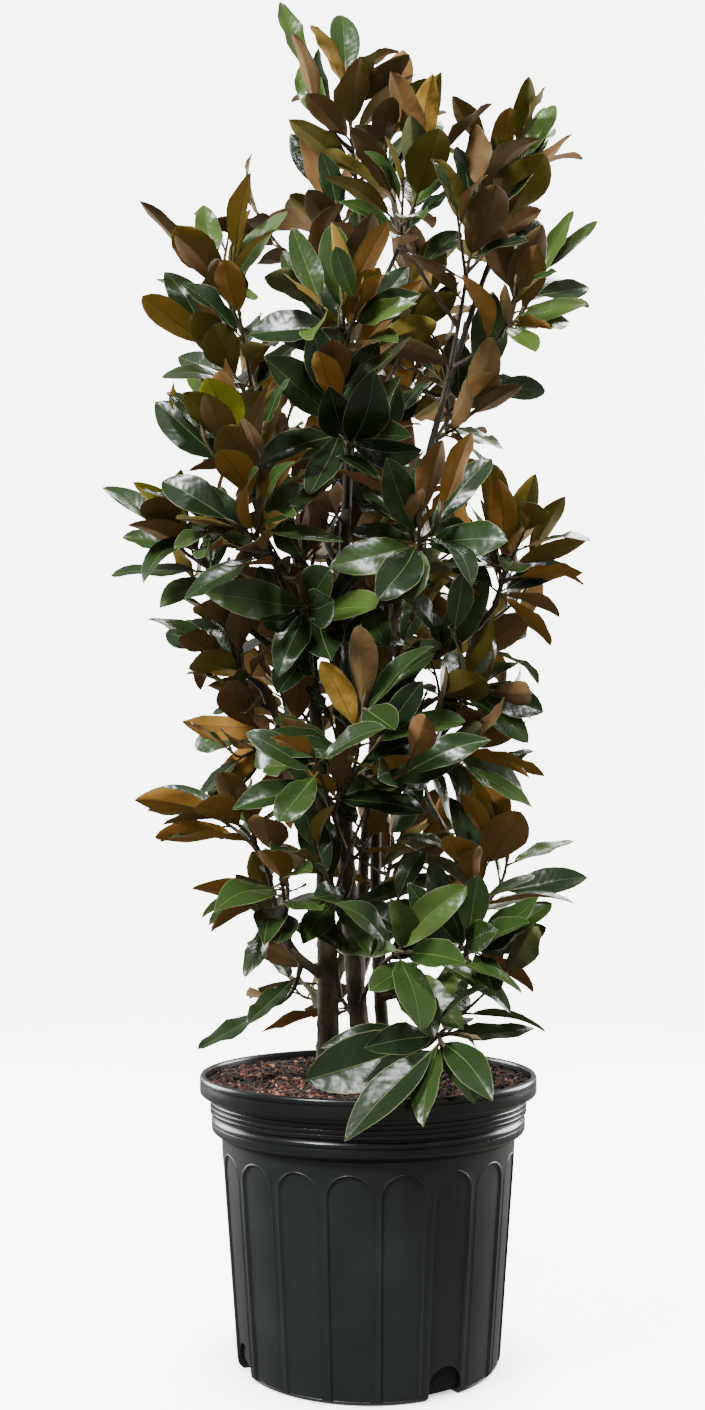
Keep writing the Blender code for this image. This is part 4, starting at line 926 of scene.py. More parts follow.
class Reach:
    """How far the source's crown goes: new leaves end near its leaves, inside its box, behind or
    before its outline as seen from the front, and off its openings."""

    def __init__(self, plans):
        places = []
        for plan in plans:
            for leaf in plan["leaves"]:
                places += [leaf.root + leaf.along * leaf.length * share for share in FRONT_SHARES]
        self.tree = KDTree(len(places))
        self.front = KDTree(len(places))
        for index, place in enumerate(places):
            self.tree.insert(place, index)
            self.front.insert((*sight(place), 0.0), index)
        self.tree.balance()
        self.front.balance()
        self.low = Vector([min(place[axis] for place in places) for axis in range(3)])
        self.high = Vector([max(place[axis] for place in places) for axis in range(3)])

    def holds(self, leaf):
        tip = leaf.root + leaf.along * leaf.length
        if any(not self.low[axis] <= tip[axis] <= self.high[axis] for axis in range(3)):
            return False
        if self.tree.find(tip)[2] >= REACH_GAP:
            return False
        across = leaf.along.cross(leaf.normal) * leaf.width * 0.35
        middle = leaf.root + leaf.along * leaf.length * 0.55
        for place in (middle, middle + across, middle - across, leaf.root.lerp(tip, 0.85), tip):
            if open_sky(place) or self.front.find((*sight(place), 0.0))[2] > FRONT_GAP:
                return False
        return True


def slot_on(knots, t, turn, lean, sky, size, draw):
    axis = heading_at(knots, t)
    width = LEAF_WIDTH * size * draw.uniform(*LEAF_WIDTHS)
    return Slot(bezier(knots, t), axis, axis.orthogonal().normalized(), turn, lean, 0.0, sky,
                LEAF_LENGTH * size, width, draw.uniform(*LEAF_CURLS))


def older_leaves(knots, count, first, height_share, draw):
    """Leaves between and below those of the source on one shoot, lower ones leaning further out."""
    length = curve_length(knots, 8)
    outer = OUTER_ANGLE_LOW + (OUTER_ANGLE_HIGH - OUTER_ANGLE_LOW) * height_share
    start_turn = draw.uniform(0, 360)
    slots = []
    for index in range(count):
        share = first + (1.45 - first) * index / max(count - 1, 1)
        t = 1.0 - LEAFY_LENGTH * share / length
        if t < 0.14:
            break
        lean = INNER_ANGLE + (outer - INNER_ANGLE) * min(share, 1.3) + draw.uniform(-8, 10)
        sky = (1 - height_share) * 0.75 * share + 0.15
        slots.append(slot_on(knots, t, start_turn + GOLDEN_ANGLE * index, lean, sky,
                             draw.uniform(0.78, 1.02), draw))
    return slots


def fine_twig(knots, t, turn, length, rise_mix, draw):
    """Knots of a short twig that leaves a shoot or limb and turns up."""
    fork, axis = bezier(knots, t), heading_at(knots, t)
    level = Vector((0, 0, 1)).cross(axis)
    level = level.normalized() if level.length > 1e-4 else Vector((1, 0, 0))
    spoke = Matrix.Rotation(math.radians(turn), 3, axis) @ level
    heading = (axis * 0.55 + spoke * 0.80 + Vector((0, 0, rise_mix))).normalized()
    end = fork + heading * length
    out = math.atan2(end.y - fork.y, end.x - fork.x)
    return shoot_axis(fork, end, draw.uniform(35, 72), out)


def share_of_height(z):
    return min(max((z - GROUND) / (MASSES[0].height - GROUND), 0.0), 1.0)


def grow_fine(plan, owner, knots, space, reach, draw):
    """A finer twig with its leaves, kept only where it touches no limb and two leaves fit."""
    count, scale = draw.randint(*FINE_LEAVES), draw.uniform(*FINE_SCALE)
    outer_part = (bezier(knots, 0.25), bezier(knots, 0.6), knots[-1])
    if touches(shoot_room(outer_part, FINE_RADIUS), space.fixed):
        return
    slots = grow_shoot(knots, count, share_of_height(knots[-1].z), draw)
    before = len(plan["leaves"])
    space.add_twig(owner, knots[1], shoot_room(knots, FINE_RADIUS))
    for slot in slots:
        slot = slot._replace(length=slot.length * scale, width=slot.width * scale)
        place_leaf(plan, owner, slot, space, FINE_TRIES, reach)
    if len(plan["leaves"]) - before < 2:
        space.twigs.pop()
        del plan["leaves"][before:]
        del plan["slots"][before:]
        return
    plan["fine"].append(knots)


def carry_on(plans, space, limbs):
    """Older leaves on the source's shoots, then finer twigs on shoots and limbs with theirs."""
    reach = Reach(plans)
    for owner, plan in enumerate(plans):
        draw = random.Random(SEED + SPRAY_DRAWS + owner)
        plan["fine"] = []
        share = share_of_height(plan["mass"].height)
        for rank, knots in enumerate(plan["shoots"]):
            count, first = (SIDE_MORE + 1, 0.35) if rank else (OLDER_LEAVES + 2, 0.22)
            for slot in older_leaves(knots, count, first, share, draw):
                place_leaf(plan, owner, slot, space, FINE_TRIES, reach)
        for index in range(FINE_TWIGS[owner % 2]):
            turn = plan["mass"].turn + 110 + 150 * index + draw.uniform(-30, 30)
            knots = fine_twig(plan["shoots"][0], draw.uniform(0.35, 0.72), turn,
                              draw.uniform(*FINE_LENGTH), 0.35, draw)
            grow_fine(plan, owner, knots, space, reach, draw)
    extra = []
    for index, limb in enumerate(limbs.values()):
        draw = random.Random(SEED + LIMB_DRAWS + index)
        length = curve_length(limb.knots)
        travel = length * (LIMB_FOOT if limb.name.startswith("stem") else 0.30)
        turn = draw.uniform(0, 360)
        while travel < length * 0.97:
            plan = {"mass": None, "shoots": [], "leaves": [], "slots": [], "fine": []}
            knots = fine_twig(limb.knots, travel / length, turn, draw.uniform(0.06, 0.13), 0.45,
                              draw)
            grow_fine(plan, 1000 + len(extra), knots, space, reach, draw)
            if plan["fine"]:
                extra.append(plan)
            travel += LIMB_SPACING * draw.uniform(0.8, 1.2)
            turn += GOLDEN_ANGLE
    return extra


# Limbs with the relief of bark

def plan_limbs():
    """The stems and boughs of the source, as curves and radii."""
    limbs = {}
    for stem in STEMS:
        knots, run, radii = stem_shape(stem)
        limbs[stem.name] = Limb(stem.name, knots, run, radii, STEM_SIDES)
    for bough in BOUGHS:
        tip = polar(bough.azimuth, bough.reach, bough.height)
        knots = bough_knots(bezier(limbs[bough.limb].knots, bough.at), tip)
        shares = [k / BOUGH_STEPS for k in range(BOUGH_STEPS + 1)]
        run = [bezier(knots, t) for t in shares]
        radii = [bough.radius + (BOUGH_TIP_RADIUS - bough.radius) * t for t in shares]
        limbs[bough.name] = Limb(bough.name, knots, run, radii, BOUGH_SIDES)
    return limbs


def curve_length(knots, steps=24):
    run = [bezier(knots, k / steps) for k in range(steps + 1)]
    return sum((b - a).length for a, b in zip(run, run[1:]))


def scar_swell(travel, spacing, draw_phase):
    """Slight rings where leaves have fallen, at uneven spacing along a limb."""
    place = travel / spacing + 0.35 * math.sin(travel * 31 + draw_phase) + draw_phase
    near = abs(place - round(place)) * spacing
    return math.exp(-(near / 0.0022) ** 2)


def relief_tube(knots, radius_at, sides, step, phase, ridge=0.0, level=None):
    """A fine tube along a curve whose skin is lumpy and ringed by scars. Where a level is given,
    its foot is flat at that height and lobed."""
    length = curve_length(knots)
    count = max(4, int(length / step))
    shares = [ring / count for ring in range(count + 1)]
    headings = [heading_at(knots, t, 0.01) for t in shares]
    if level is not None:
        headings[0] = Vector((0, 0, 1))
    rings = []
    for t, spokes in zip(shares, spokes_along(headings, sides)):
        centre, travel = bezier(knots, t), t * length
        radius = radius_at(t, centre)
        swell = 0.10 * scar_swell(travel, 0.034, phase)
        ring = []
        for side, spoke in enumerate(spokes):
            turn = 2 * math.pi * side / sides
            skin = centre + spoke * radius
            lump = 0.075 * noise.noise(skin * 55 + Vector((phase, 0, 0)))
            lump += 0.060 * noise.noise(skin * 170 + Vector((0, phase, 0)))
            lobes = ridge * math.cos(5 * turn + phase) * math.exp(-travel / 0.030)
            ring.append(centre + spoke * radius * (1 + swell + lump + lobes))
        rings.append(ring)
    if level is not None:
        for point in rings[0]:
            point.z = level
    return loft(rings)


def make_limb_skins(limbs):
    bark = bark_material()
    ground = GROUND + CLEAR

    def skin(name, *shape):
        points, faces = relief_tube(limbs[name].knots, *shape)
        dress(new_piece(name + "_bark", points, faces, [bark], smooth=60), "bark", name)

    for index, stem in enumerate(STEMS):
        skin(stem.name, lambda t, place: stem_radius(stem, t, place.z - ground), 20, 0.0042,
             index * 1.7, 0.09, ground)
    for index, bough in enumerate(BOUGHS):
        def radius_at(t, _):
            collar = 0.35 * math.exp(-t / 0.07)
            return (bough.radius + (BOUGH_TIP_RADIUS - bough.radius) * t) * (1 + collar)

        skin(bough.name, radius_at, 14, 0.0045, 9 + index * 2.3)


# Leaves

Blade = namedtuple("Blade", "leaf upper under belly point_end wave beats curl twist sway cup")

# How often each upper and each under colour comes up, at the foot and at the top of the crown.
UPPER_LOW = (0.30, 0.36, 0.24, 0.08, 0.00, 0.02, 0.00)
UPPER_HIGH = (0.20, 0.32, 0.26, 0.14, 0.00, 0.08, 0.00)
UNDER_LOW = (0.16, 0.14, 0.04, 0.16, 0.14, 0.36, 0.00)
UNDER_HIGH = (0.34, 0.22, 0.07, 0.22, 0.15, 0.00, 0.00)


# The two under and two upper colours that a spray mostly wears, by name.
TINTS = {
    "top": "rust brown fresh mid",
    "top_right": "olive rust mid dark",
    "top_left": "rust brown dark deep",
    "top_back": "olive brown dark mid",
    "right_leader_tip": "olive rust fresh mid",
    "right_leader_inner": "brown rust deep dark",
    "right_leader_outer": "olive cinnamon fresh dark",
    "right_upper": "brown rust deep dark",
    "left_leader_tip": "ochre rust fresh mid",
    "left_leader_outer": "cinnamon olive dark deep",
    "left_inner": "brown rust deep dark",
    "front_high": "cinnamon ochre mid fresh",
    "front_centre": "rust brown deep dark",
    "front_left_upper": "rust olive mid dark",
    "front_left_lower": "rust cinnamon dark mid",
    "left_edge": "olive rust dark mid",
    "front_right_upper": "cinnamon rust dark deep",
    "right_edge": "olive cinnamon dark deep",
    "left_mid": "rust brown dark deep",
    "left_mid_low": "cinnamon rust dark mid",
    "front_mid_left": "rust brown dark deep",
    "front_mid": "rust olive dark mid",
    "right_mid": "brown olive dark mid",
    "right_mid_low": "cinnamon brown dark mid",
    "front_lower": "ochre rust dark deep",
    "front_lower_left": "olive brown dark mid",
    "left_low": "cinnamon rust dark mid",
    "left_low_front": "rust cinnamon dark mid",
    "left_lowest": "brown pale deep dark",
    "right_low": "pale rust mid dark",
    "right_low_upright": "cinnamon olive mid dark",
    "front_low": "pale olive mid fresh",
    "front_lowest": "pale brown deep dark",
}
TINT_SHARE = 0.78
FIRST_TINT = 0.62
POSED_CALM = 0.6
SLIM = (0.74, 0.96)
SLIM_RISE = 0.14


def deal(low, high, share, draw):
    """One colour number, drawn by weights that change with height."""
    weights = [a + (b - a) * share for a, b in zip(low, high)]
    mark = draw.uniform(0, sum(weights))
    for number, weight in enumerate(weights):
        mark -= weight
        if mark <= 0:
            return number
    return len(weights) - 1


def blades_of(plan, draw):
    """Gives every leaf of a spray its colours, mostly the spray's own, and a shape of its own."""
    blades = []
    tint = TINTS.get(plan["wears"], "").split()
    rows = posed_rows(plan["mass"].name) if plan["mass"] else ()
    worn = {row[1:4]: row[6] for row in rows}
    uppers = {row[0][6:]: number for number, row in enumerate(UPPERS)}
    unders = {row[0][6:]: number for number, row in enumerate(UNDERS)}
    for leaf, slot in zip(plan["leaves"], plan["slots"]):
        share = share_of_height(leaf.root.z)
        under = deal(UNDER_LOW, UNDER_HIGH, share, draw)
        upper = deal(UPPER_LOW, UPPER_HIGH, share, draw)
        if tint and draw.random() < TINT_SHARE:
            under = unders[tint[0 if draw.random() < FIRST_TINT else 1]]
        if tint and draw.random() < TINT_SHARE:
            upper = uppers[tint[2 if draw.random() < FIRST_TINT else 3]]
        word = worn.get((slot.turn, slot.lean, slot.roll))
        upper, under = uppers.get(word, upper), unders.get(word, under)
        posed = POSED_CALM if word else 1.0
        slim = 1.0 if word else draw.uniform(*SLIM) + SLIM_RISE * share
        blades.append(Blade(leaf._replace(width=leaf.width * slim), upper, len(UPPERS) + under,
                            draw.uniform(0.80, 1.02), draw.uniform(0.64, 0.96),
                            draw.uniform(0.0005, 0.0038), draw.uniform(1.1, 2.9),
                            posed * draw.uniform(-0.3, 1.5), posed * draw.uniform(-0.50, 0.50),
                            posed * draw.uniform(-0.045, 0.045), draw.uniform(0.3, 1.7)))
    return blades


RING = 18


def ring_parts(upper, under):
    """Which colour each of a leaf's long strips takes, going once round its ring."""
    top = [upper] * 3 + [MIDRIB] + [upper] * 3
    below = [under] * 3 + [STALK] + [under] * 3
    return top + [MARGIN_PAINTED_HIGHLIGHT, MARGIN_PAINTED_HIGHLIGHT] + below + [MARGIN_PAINTED_HIGHLIGHT, MARGIN_PAINTED_HIGHLIGHT]


def leaf_template():
    """Face corners of one leaf: its long strips, its two ends, and its stalk. Each cell of a strip
    is split the same way above and below, so that the two faces stay a blade's thickness apart."""
    faces = []
    for index, (a, b, c, d) in enumerate(ring_faces(len(STATIONS), RING)):
        faces += [(a, b, d), (b, c, d)] if 9 <= index % RING <= 15 else [(a, b, c), (a, c, d)]
    last = (len(STATIONS) - 1) * RING
    ends = [tuple(range(RING - 1, -1, -1)), tuple(range(last, last + RING))]
    return faces + ends + ring_faces(STALK_ROWS, STALK_SIDES, last + RING)


STALK_ROWS = 4
STALK_SIDES = 5


def leaf_points(blades):
    """Points of every leaf at once, by station and place round the ring, and their map places."""
    def column(values):
        return np.array(values, float).reshape(len(blades), 1, 1, -1)

    leaves = [blade.leaf for blade in blades]
    root, along, normal = (column([tuple(getattr(leaf, name)) for leaf in leaves])
                           for name in ("root", "along", "normal"))
    across = np.cross(along, normal)
    length, width, droop = (column([getattr(leaf, name) for leaf in leaves])[..., 0]
                            for name in ("length", "width", "curl"))
    belly, end, wave, beats, curl, twist, sway, cup = (
        column([getattr(blade, name) for blade in blades])[..., 0] for name in Blade._fields[3:])

    u = np.array(STATIONS).reshape(1, -1, 1)
    peak = belly / (belly + end)
    outline = (u / peak) ** belly * (np.clip(1 - u, 0, 1) / (1 - peak)) ** end
    half = width / 2 * np.maximum(outline, 0.0) + 0.00035
    fullness = np.sin(np.pi * np.clip(u, 0, 1)) ** 0.5
    rib = np.minimum(RIB_HALF * (1.15 - 0.8 * u), half * 0.45)
    inner = np.minimum(rib + 0.0026, half * 0.60)
    aside = [-0.968 * half, -0.60 * half, -inner, -rib, rib, inner, 0.60 * half, 0.968 * half]
    aside = np.concatenate(aside + [half + EDGE_OUT] + aside[::-1] + [-(half + EDGE_OUT)], 2)
    side = aside / np.maximum(half, 1e-5)
    thick = BLADE_THICK / 2 * (1 - 0.45 * side ** 2) * np.minimum(1, 0.35 + 3 * (1 - u))
    face = np.array([1] * 8 + [0] + [-1] * 8 + [0]).reshape(1, 1, -1)
    lift = LEAF_CUP * cup * width * fullness * np.abs(side) ** 1.6
    phase = np.where(side < 0, 2.1, 0.0)
    lift = lift + wave * np.sin(2 * np.pi * beats * u + phase + beats * 9) * side ** 2 * fullness
    at_rib = np.zeros(RING)
    at_rib[[3, 4]] = -0.00045
    at_rib[[12, 13]] = -0.00120
    at_rib[[11, 14]] = -0.00025
    lift = lift + at_rib.reshape(1, 1, -1) * (1.1 - 0.9 * u) + face * thick
    share = PETIOLE_SHARE + (1 - PETIOLE_SHARE) * u
    bend = -droop * length * LEAF_BEND * share ** 2
    bend = bend - curl * length * 0.11 * np.clip((u - 0.50) / 0.50, 0, 1) ** 2
    angle = twist * (u - 0.25)
    bent = aside + sway * length * np.sin(np.pi * u)

    def placed(x, y, z):
        x, y, z = (part[..., None] for part in np.broadcast_arrays(x, y, z))
        return (root + along * x + across * y + normal * z).reshape(len(blades), -1, 3)

    blade = placed(share * length, bent * np.cos(angle) - lift * np.sin(angle),
                   bend + bent * np.sin(angle) + lift * np.cos(angle))
    places = np.stack([np.broadcast_to(u, aside.shape), 0.5 + 0.5 * np.clip(side, -1, 1)], -1)

    row = np.linspace(0, 1, STALK_ROWS).reshape(1, -1, 1)
    turn = (2 * np.pi * np.arange(STALK_SIDES) / STALK_SIDES).reshape(1, 1, -1)
    reach = PETIOLE_SHARE * (0.02 + 1.10 * row)
    radius = 0.00165 - 0.00035 * row + 0.0010 * np.exp(-row / 0.12)
    stalk = placed(reach * length, radius * np.cos(turn),
                   radius * np.sin(turn) - droop * length * LEAF_BEND * reach ** 2 - 0.0004)
    places = places.reshape(len(blades), -1, 2)
    middles = np.full((len(blades), stalk.shape[1], 2), 0.5)
    return np.concatenate([blade, stalk], 1), np.concatenate([places, middles], 1)


def make_leaves(name, blades, materials):
    """All leaves of one zone as one mesh, with a colour number on every face."""
    template = leaf_template()
    points, places = leaf_points(blades)
    per_leaf = points.shape[1]
    first = points[0]
    volume = sum(np.dot(first[face[0]], np.cross(first[b], first[c]))
                 for face in template for b, c in zip(face[1:-1], face[2:]))
    if volume < 0:
        template = [face[::-1] for face in template]
    count = len(blades)
    corners = np.concatenate([np.array(face) for face in template])
    all_corners = (corners[None, :] + per_leaf * np.arange(count)[:, None]).reshape(-1)
    all_sizes = np.tile([len(face) for face in template], count)
    strips = len(STATIONS) - 1
    rest = len(template) - strips * RING * 2
    numbers = []
    for blade in blades:
        ring = [number for number in ring_parts(blade.upper, blade.under) for _ in range(2)]
        numbers += ring * strips + [MARGIN_PAINTED_HIGHLIGHT] * 2 + [STALK] * (rest - 2)
    mesh = bpy.data.meshes.new(name)
    mesh.vertices.add(per_leaf * count)
    mesh.vertices.foreach_set("co", points.reshape(-1).astype(np.float32))
    mesh.loops.add(len(all_corners))
    mesh.loops.foreach_set("vertex_index", all_corners.astype(np.int32))
    mesh.polygons.add(len(all_sizes))
    starts = np.concatenate([[0], np.cumsum(all_sizes)[:-1]])
    mesh.polygons.foreach_set("loop_start", starts.astype(np.int32))
    for material in materials:
        mesh.materials.append(material)
    mesh.polygons.foreach_set("material_index", np.array(numbers, np.int32))
    layer = mesh.uv_layers.new(name="leaf")
    layer.data.foreach_set("uv", places.reshape(-1, 2)[all_corners].reshape(-1).astype(np.float32))
    mesh.update(calc_edges=True)
    mesh.validate()
    mesh.shade_smooth()
    mesh.set_sharp_from_angle(angle=math.radians(LEAF_SHARP))
    return show(bpy.data.objects.new(name, mesh))


# Twigs and buds

def twig_rings(knots, base_radius, tip_radius, step, draw):
    """A ringed twig: swollen where it leaves its limb and where each leaf sits."""
    length = curve_length(knots, 10)
    count = max(5, int(length / step))
    run = [bezier(knots, k / count) for k in range(count + 1)]
    radii = []
    for k in range(count + 1):
        t = k / count
        radius = base_radius + (tip_radius - base_radius) * t
        collar = 0.55 * math.exp(-t * length / 0.006)
        knuckle = 0.16 if k % 2 else 0.0
        radii.append(radius * (1 + collar + knuckle + draw.uniform(-0.04, 0.04)))
    return run, radii


def add_twig(heap, knots, base_radius, tip_radius, draw, young=0.55):
    run, radii = twig_rings(knots, base_radius, tip_radius, 0.0085, draw)
    points, faces = tube(run, radii, 7)
    numbers = [0, 1]
    for ring in range(len(run) - 1):
        numbers += [1 if ring / (len(run) - 1) > young else 0] * 7
    heap.add(points, faces, numbers)


def add_bud(heap, knots, length, radius):
    """A pointed, felted end bud along the shoot's last heading."""
    tip = knots[-1]
    along = (tip - bezier(knots, 0.92)).normalized()
    shares = (0.0, 0.18, 0.42, 0.68, 0.88, 1.0)
    swell = (0.62, 0.95, 1.0, 0.66, 0.30, 0.06)
    run = [tip + along * length * (share - 0.08) for share in shares]
    points, faces = tube(run, [radius * value for value in swell], 7)
    heap.add(points, faces, 0)


# Pot

ARCH_TURNS = (0, 12, 24, 36, 48, 60, 70, 78, 90)
BEAD_TURNS = (0.12, 0.26, 0.40, 0.56)
BEAD_DROPS = (-0.0016, -0.0012, -0.0008, -0.0004, 0.0, 0.0004, 0.0008, 0.0012, 0.0017, 0.0026)
EDGE_WIDTH = 0.0016
BEAD_WIDTH = 0.0016
BEAD_HEIGHT = 0.0006


def upper_profile():
    """Lip, fine grooves, two bands and the step down to the fluted body, as (radius, height)."""
    rows = [
        (0.0240, 0.2790), (0.0215, 0.2808), (0.0186, 0.2826), (0.0168, 0.2843), (0.0158, 0.2862),
        (0.0155, 0.2890), (0.0155, 0.2925), (0.0165, 0.2934), (0.0165, 0.2943), (0.0155, 0.2951),
        (0.0154, 0.2975), (0.0160, 0.2995), (0.0176, 0.3008), (0.0182, 0.3018), (0.0180, 0.3030),
        (0.0162, 0.3038), (0.0146, 0.3050), (0.0136, 0.3068), (0.0134, 0.3090), (0.0137, 0.3096),
        (0.0151, 0.3101), (0.0151, 0.3112), (0.0137, 0.3117), (0.0134, 0.3123), (0.0134, 0.3148),
        (0.0137, 0.3154), (0.0151, 0.3159), (0.0151, 0.3170), (0.0137, 0.3175), (0.0134, 0.3181),
        (0.0134, 0.3206), (0.0137, 0.3212), (0.0151, 0.3217), (0.0151, 0.3228), (0.0137, 0.3233),
        (0.0134, 0.3239), (0.0135, 0.3252), (0.0128, 0.3268), (0.0105, 0.3277), (0.0050, 0.3283),
        (0.0022, 0.3290), (0.0008, 0.3302), (0.0002, 0.3322), (0.0001, 0.3405), (0.0002, 0.3438),
        (0.0013, 0.3444), (0.0013, 0.3452), (0.0002, 0.3458), (0.0000, 0.3480), (0.0004, 0.3500),
        (0.0014, 0.3515), (0.0030, 0.3524), (0.0045, 0.3525), (0.0058, 0.3519), (0.0066, 0.3506),
    ]
    return [(RIM_RADIUS - inset, height) for inset, height in rows]


def inner_profile():
    return [
        (RIM_RADIUS - 0.0068, 0.3480), (RIM_RADIUS - 0.0075, POT_HEIGHT - 0.0160),
        (RIM_RADIUS - 0.0165, POT_HEIGHT - 0.0215), (BODY_TOP_RADIUS - WALL, BODY_TOP - 0.002),
        (BODY_TOP_RADIUS - WALL - 0.008, 0.18), (BODY_FOOT_RADIUS - FLUTE_DEPTH - WALL, 0.012),
        (BODY_FOOT_RADIUS - FLUTE_DEPTH - WALL - 0.005, WALL + 0.001), (0.08, WALL), (0.02, WALL),
    ]


def flute_columns():
    """Bearings round the pot, close together where a flute's edge turns."""
    turns = [-turn for turn in reversed(ARCH_TURNS[1:])] + list(ARCH_TURNS)
    local = [FLUTE_HALF_ANGLE * math.sin(math.radians(turn)) for turn in turns]
    pitch = 360 / FLUTES
    gap = pitch - 2 * FLUTE_HALF_ANGLE
    local += [FLUTE_HALF_ANGLE + turn for turn in BEAD_TURNS] + [FLUTE_HALF_ANGLE + gap / 2]
    local += [FLUTE_HALF_ANGLE + gap - turn for turn in reversed(BEAD_TURNS)]
    return [(FLUTE_PHASE + pitch * flute + bearing, min(bearing, pitch - bearing))
            for flute in range(FLUTES) for bearing in local]


def crown_of(bearing):
    """Height of a flute's arched top at a bearing from its middle line."""
    rise = BODY_TOP_RADIUS * math.radians(FLUTE_HALF_ANGLE)
    spring = FLUTE_CROWN - rise
    share = min(abs(bearing) / FLUTE_HALF_ANGLE, 1.0)
    return spring + rise * math.sqrt(1 - share * share)


def body_heights(bearing):
    """Heights down the fluted body; those near the arch follow its line."""
    crown = crown_of(bearing)
    heights = [BODY_TOP, 0.2710, 0.2660]
    heights += [0.2660 + (crown + 0.0022 - 0.2660) * k / 3 for k in (1, 2, 3)]
    heights += [crown - drop for drop in BEAD_DROPS]
    low = 0.2270
    heights += [crown - 0.0026 + (low - crown + 0.0026) * k / 5 for k in range(1, 6)]
    heights += [0.205, 0.180, 0.155, 0.130, 0.105, 0.080, 0.055, 0.040, 0.026, 0.016, 0.010, 0.0078]
    return heights + [0.0066, 0.0058, 0.0052, 0.0046, 0.0040]


def flute_sink(bearing, height):
    """How deep the wall is let in: smoothly within a flute's edge, with a fine bead outside it."""
    rise = BODY_TOP_RADIUS * math.radians(FLUTE_HALF_ANGLE)
    spring = FLUTE_CROWN - rise
    x = math.radians(abs(bearing)) * BODY_TOP_RADIUS
    edge = rise - math.hypot(x, max(height - spring, 0.0))
    if edge < 0:
        beaded = -edge < BEAD_WIDTH and height > FLUTE_FOOT + 0.004
        return -BEAD_HEIGHT * math.sin(math.pi * -edge / BEAD_WIDTH) if beaded else 0.0
    share = min(max(min(edge, height - FLUTE_FOOT) / EDGE_WIDTH, 0.0), 1.0)
    return FLUTE_DEPTH * share * share * (3 - 2 * share)


def foot_radius(height):
    """The body's taper, with a bevelled foot below it."""
    if height >= FOOT_HEIGHT:
        return body_radius(height)
    share = 1 - height / FOOT_HEIGHT
    return BODY_FOOT_RADIUS - (BODY_FOOT_RADIUS - UNDERSIDE_RADIUS) * share ** 1.2


def make_pot_shell():
    columns = flute_columns()
    level = [(UNDERSIDE_RADIUS * share, 0.0) for share in (0.25, 0.7, 0.97)]
    level += [(foot_radius(height), height) for height in (0.0, 0.0004, 0.0011, 0.0020, 0.0030)]
    body = [body_heights(bearing)[::-1] for _, bearing in columns]
    fluted = [[polar(azimuth, foot_radius(height) - flute_sink(bearing, height), height)
               for (azimuth, bearing), height in zip(columns, heights)] for heights in zip(*body)]

    def level_rings(profile):
        return [[polar(azimuth, *row) for azimuth, _ in columns] for row in profile]

    rings = level_rings(level) + fluted + level_rings(upper_profile() + inner_profile())
    shell = new_piece("pot_shell", *loft(rings), [plastic_material()], smooth=0)
    home = bpy.data.collections.new("hole_cutters")
    bpy.context.scene.collection.children.link(home)
    for flute in HOLE_FLUTES:
        home.objects.link(hole_cutter(FLUTE_PHASE + 360 / FLUTES * flute))
    modifier = shell.modifiers.new("drain_holes", "BOOLEAN")
    modifier.operation = "DIFFERENCE"
    modifier.solver = "MANIFOLD"
    modifier.operand_type = "COLLECTION"
    modifier.collection = home
    bpy.context.view_layer.update()
    graph = bpy.context.evaluated_depsgraph_get()
    shell.data = bpy.data.meshes.new_from_object(shell.evaluated_get(graph))
    shell.modifiers.clear()
    for cutter in list(home.objects):
        bpy.data.objects.remove(cutter)
    bpy.data.collections.remove(home)
    shell.data.shade_smooth()
    shell.data.set_sharp_from_angle(angle=math.radians(40))
    dress(shell, "pot", "pot")


def hole_cutter(azimuth):
    """A round-topped opening through the foot of the wall."""
    half = HOLE_WIDTH / 2
    inner, outer = UNDERSIDE_RADIUS - 0.018, BODY_FOOT_RADIUS + 0.02
    ring = [(-half, -0.01), (half, -0.01)]
    for step in range(25):
        turn = math.pi * step / 24
        ring.append((half * math.cos(turn), HOLE_HEIGHT - half + half * math.sin(turn)))
    facing = Matrix.Rotation(math.radians(azimuth), 3, "Z")
    points = [facing @ Vector((depth, x, z)) for depth in (inner, outer) for x, z in ring]
    count = len(ring)
    faces = [tuple(range(count)), tuple(range(2 * count - 1, count - 1, -1))]
    for k in range(count):
        after = (k + 1) % count
        faces.append((k, k + count, after + count, after))
    mesh = bpy.data.meshes.new("hole_cutter")
    mesh.from_pydata([tuple(point) for point in points], [], faces)
    mesh.flip_normals()
    return bpy.data.objects.new("hole_cutter", mesh)


# Bark mix

CHIP_COUNT = 5200
CHIP_SIZES = (0.0022, 0.0085)
CHIP_SHARES = (0.23, 0.24, 0.45, 0.08)
CHIP_TILT = 0.45
BED_RINGS = 26
BED_SIDES = 96
BED_DROP = 0.0022
MIX_EDGE = RIM_RADIUS - 0.0085


def bed_height(x, y):
    place = Vector((x * 26, y * 26, 0.3))
    reach = math.hypot(x, y)
    rise = 0.0022 * noise.noise(place) + 0.0012 * noise.noise(place * 3.1)
    mound = 0.003 * math.exp(-(reach / 0.07) ** 2)
    return GROUND - BED_DROP + rise * min(1, (MIX_EDGE - reach) / 0.01 + 0.3) + mound


def make_bed():
    """The body of the mix: a lumpy top, with its side and foot inside the pot."""
    rings = [circle(MIX_EDGE * (k + 1) / BED_RINGS, 0.0, BED_SIDES) for k in range(BED_RINGS)]
    for place in (place for ring in rings for place in ring):
        place.z = bed_height(place.x, place.y)
    foot = BODY_FOOT_RADIUS - FLUTE_DEPTH - WALL
    side_rows = [(MIX_EDGE, 0.3375), (RIM_RADIUS - 0.0175, 0.3300),
                 (BODY_TOP_RADIUS - 0.0045, 0.2740), (foot - 0.0010, 0.0130),
                 (foot - 0.0060, 0.0046)]
    points, faces = loft(rings + [circle(*row, BED_SIDES) for row in side_rows])
    faces = [face[::-1] for face in faces]
    dress(new_piece("mix_body", points, faces, [bed_material()], smooth=60), "mix", "potting_mix")


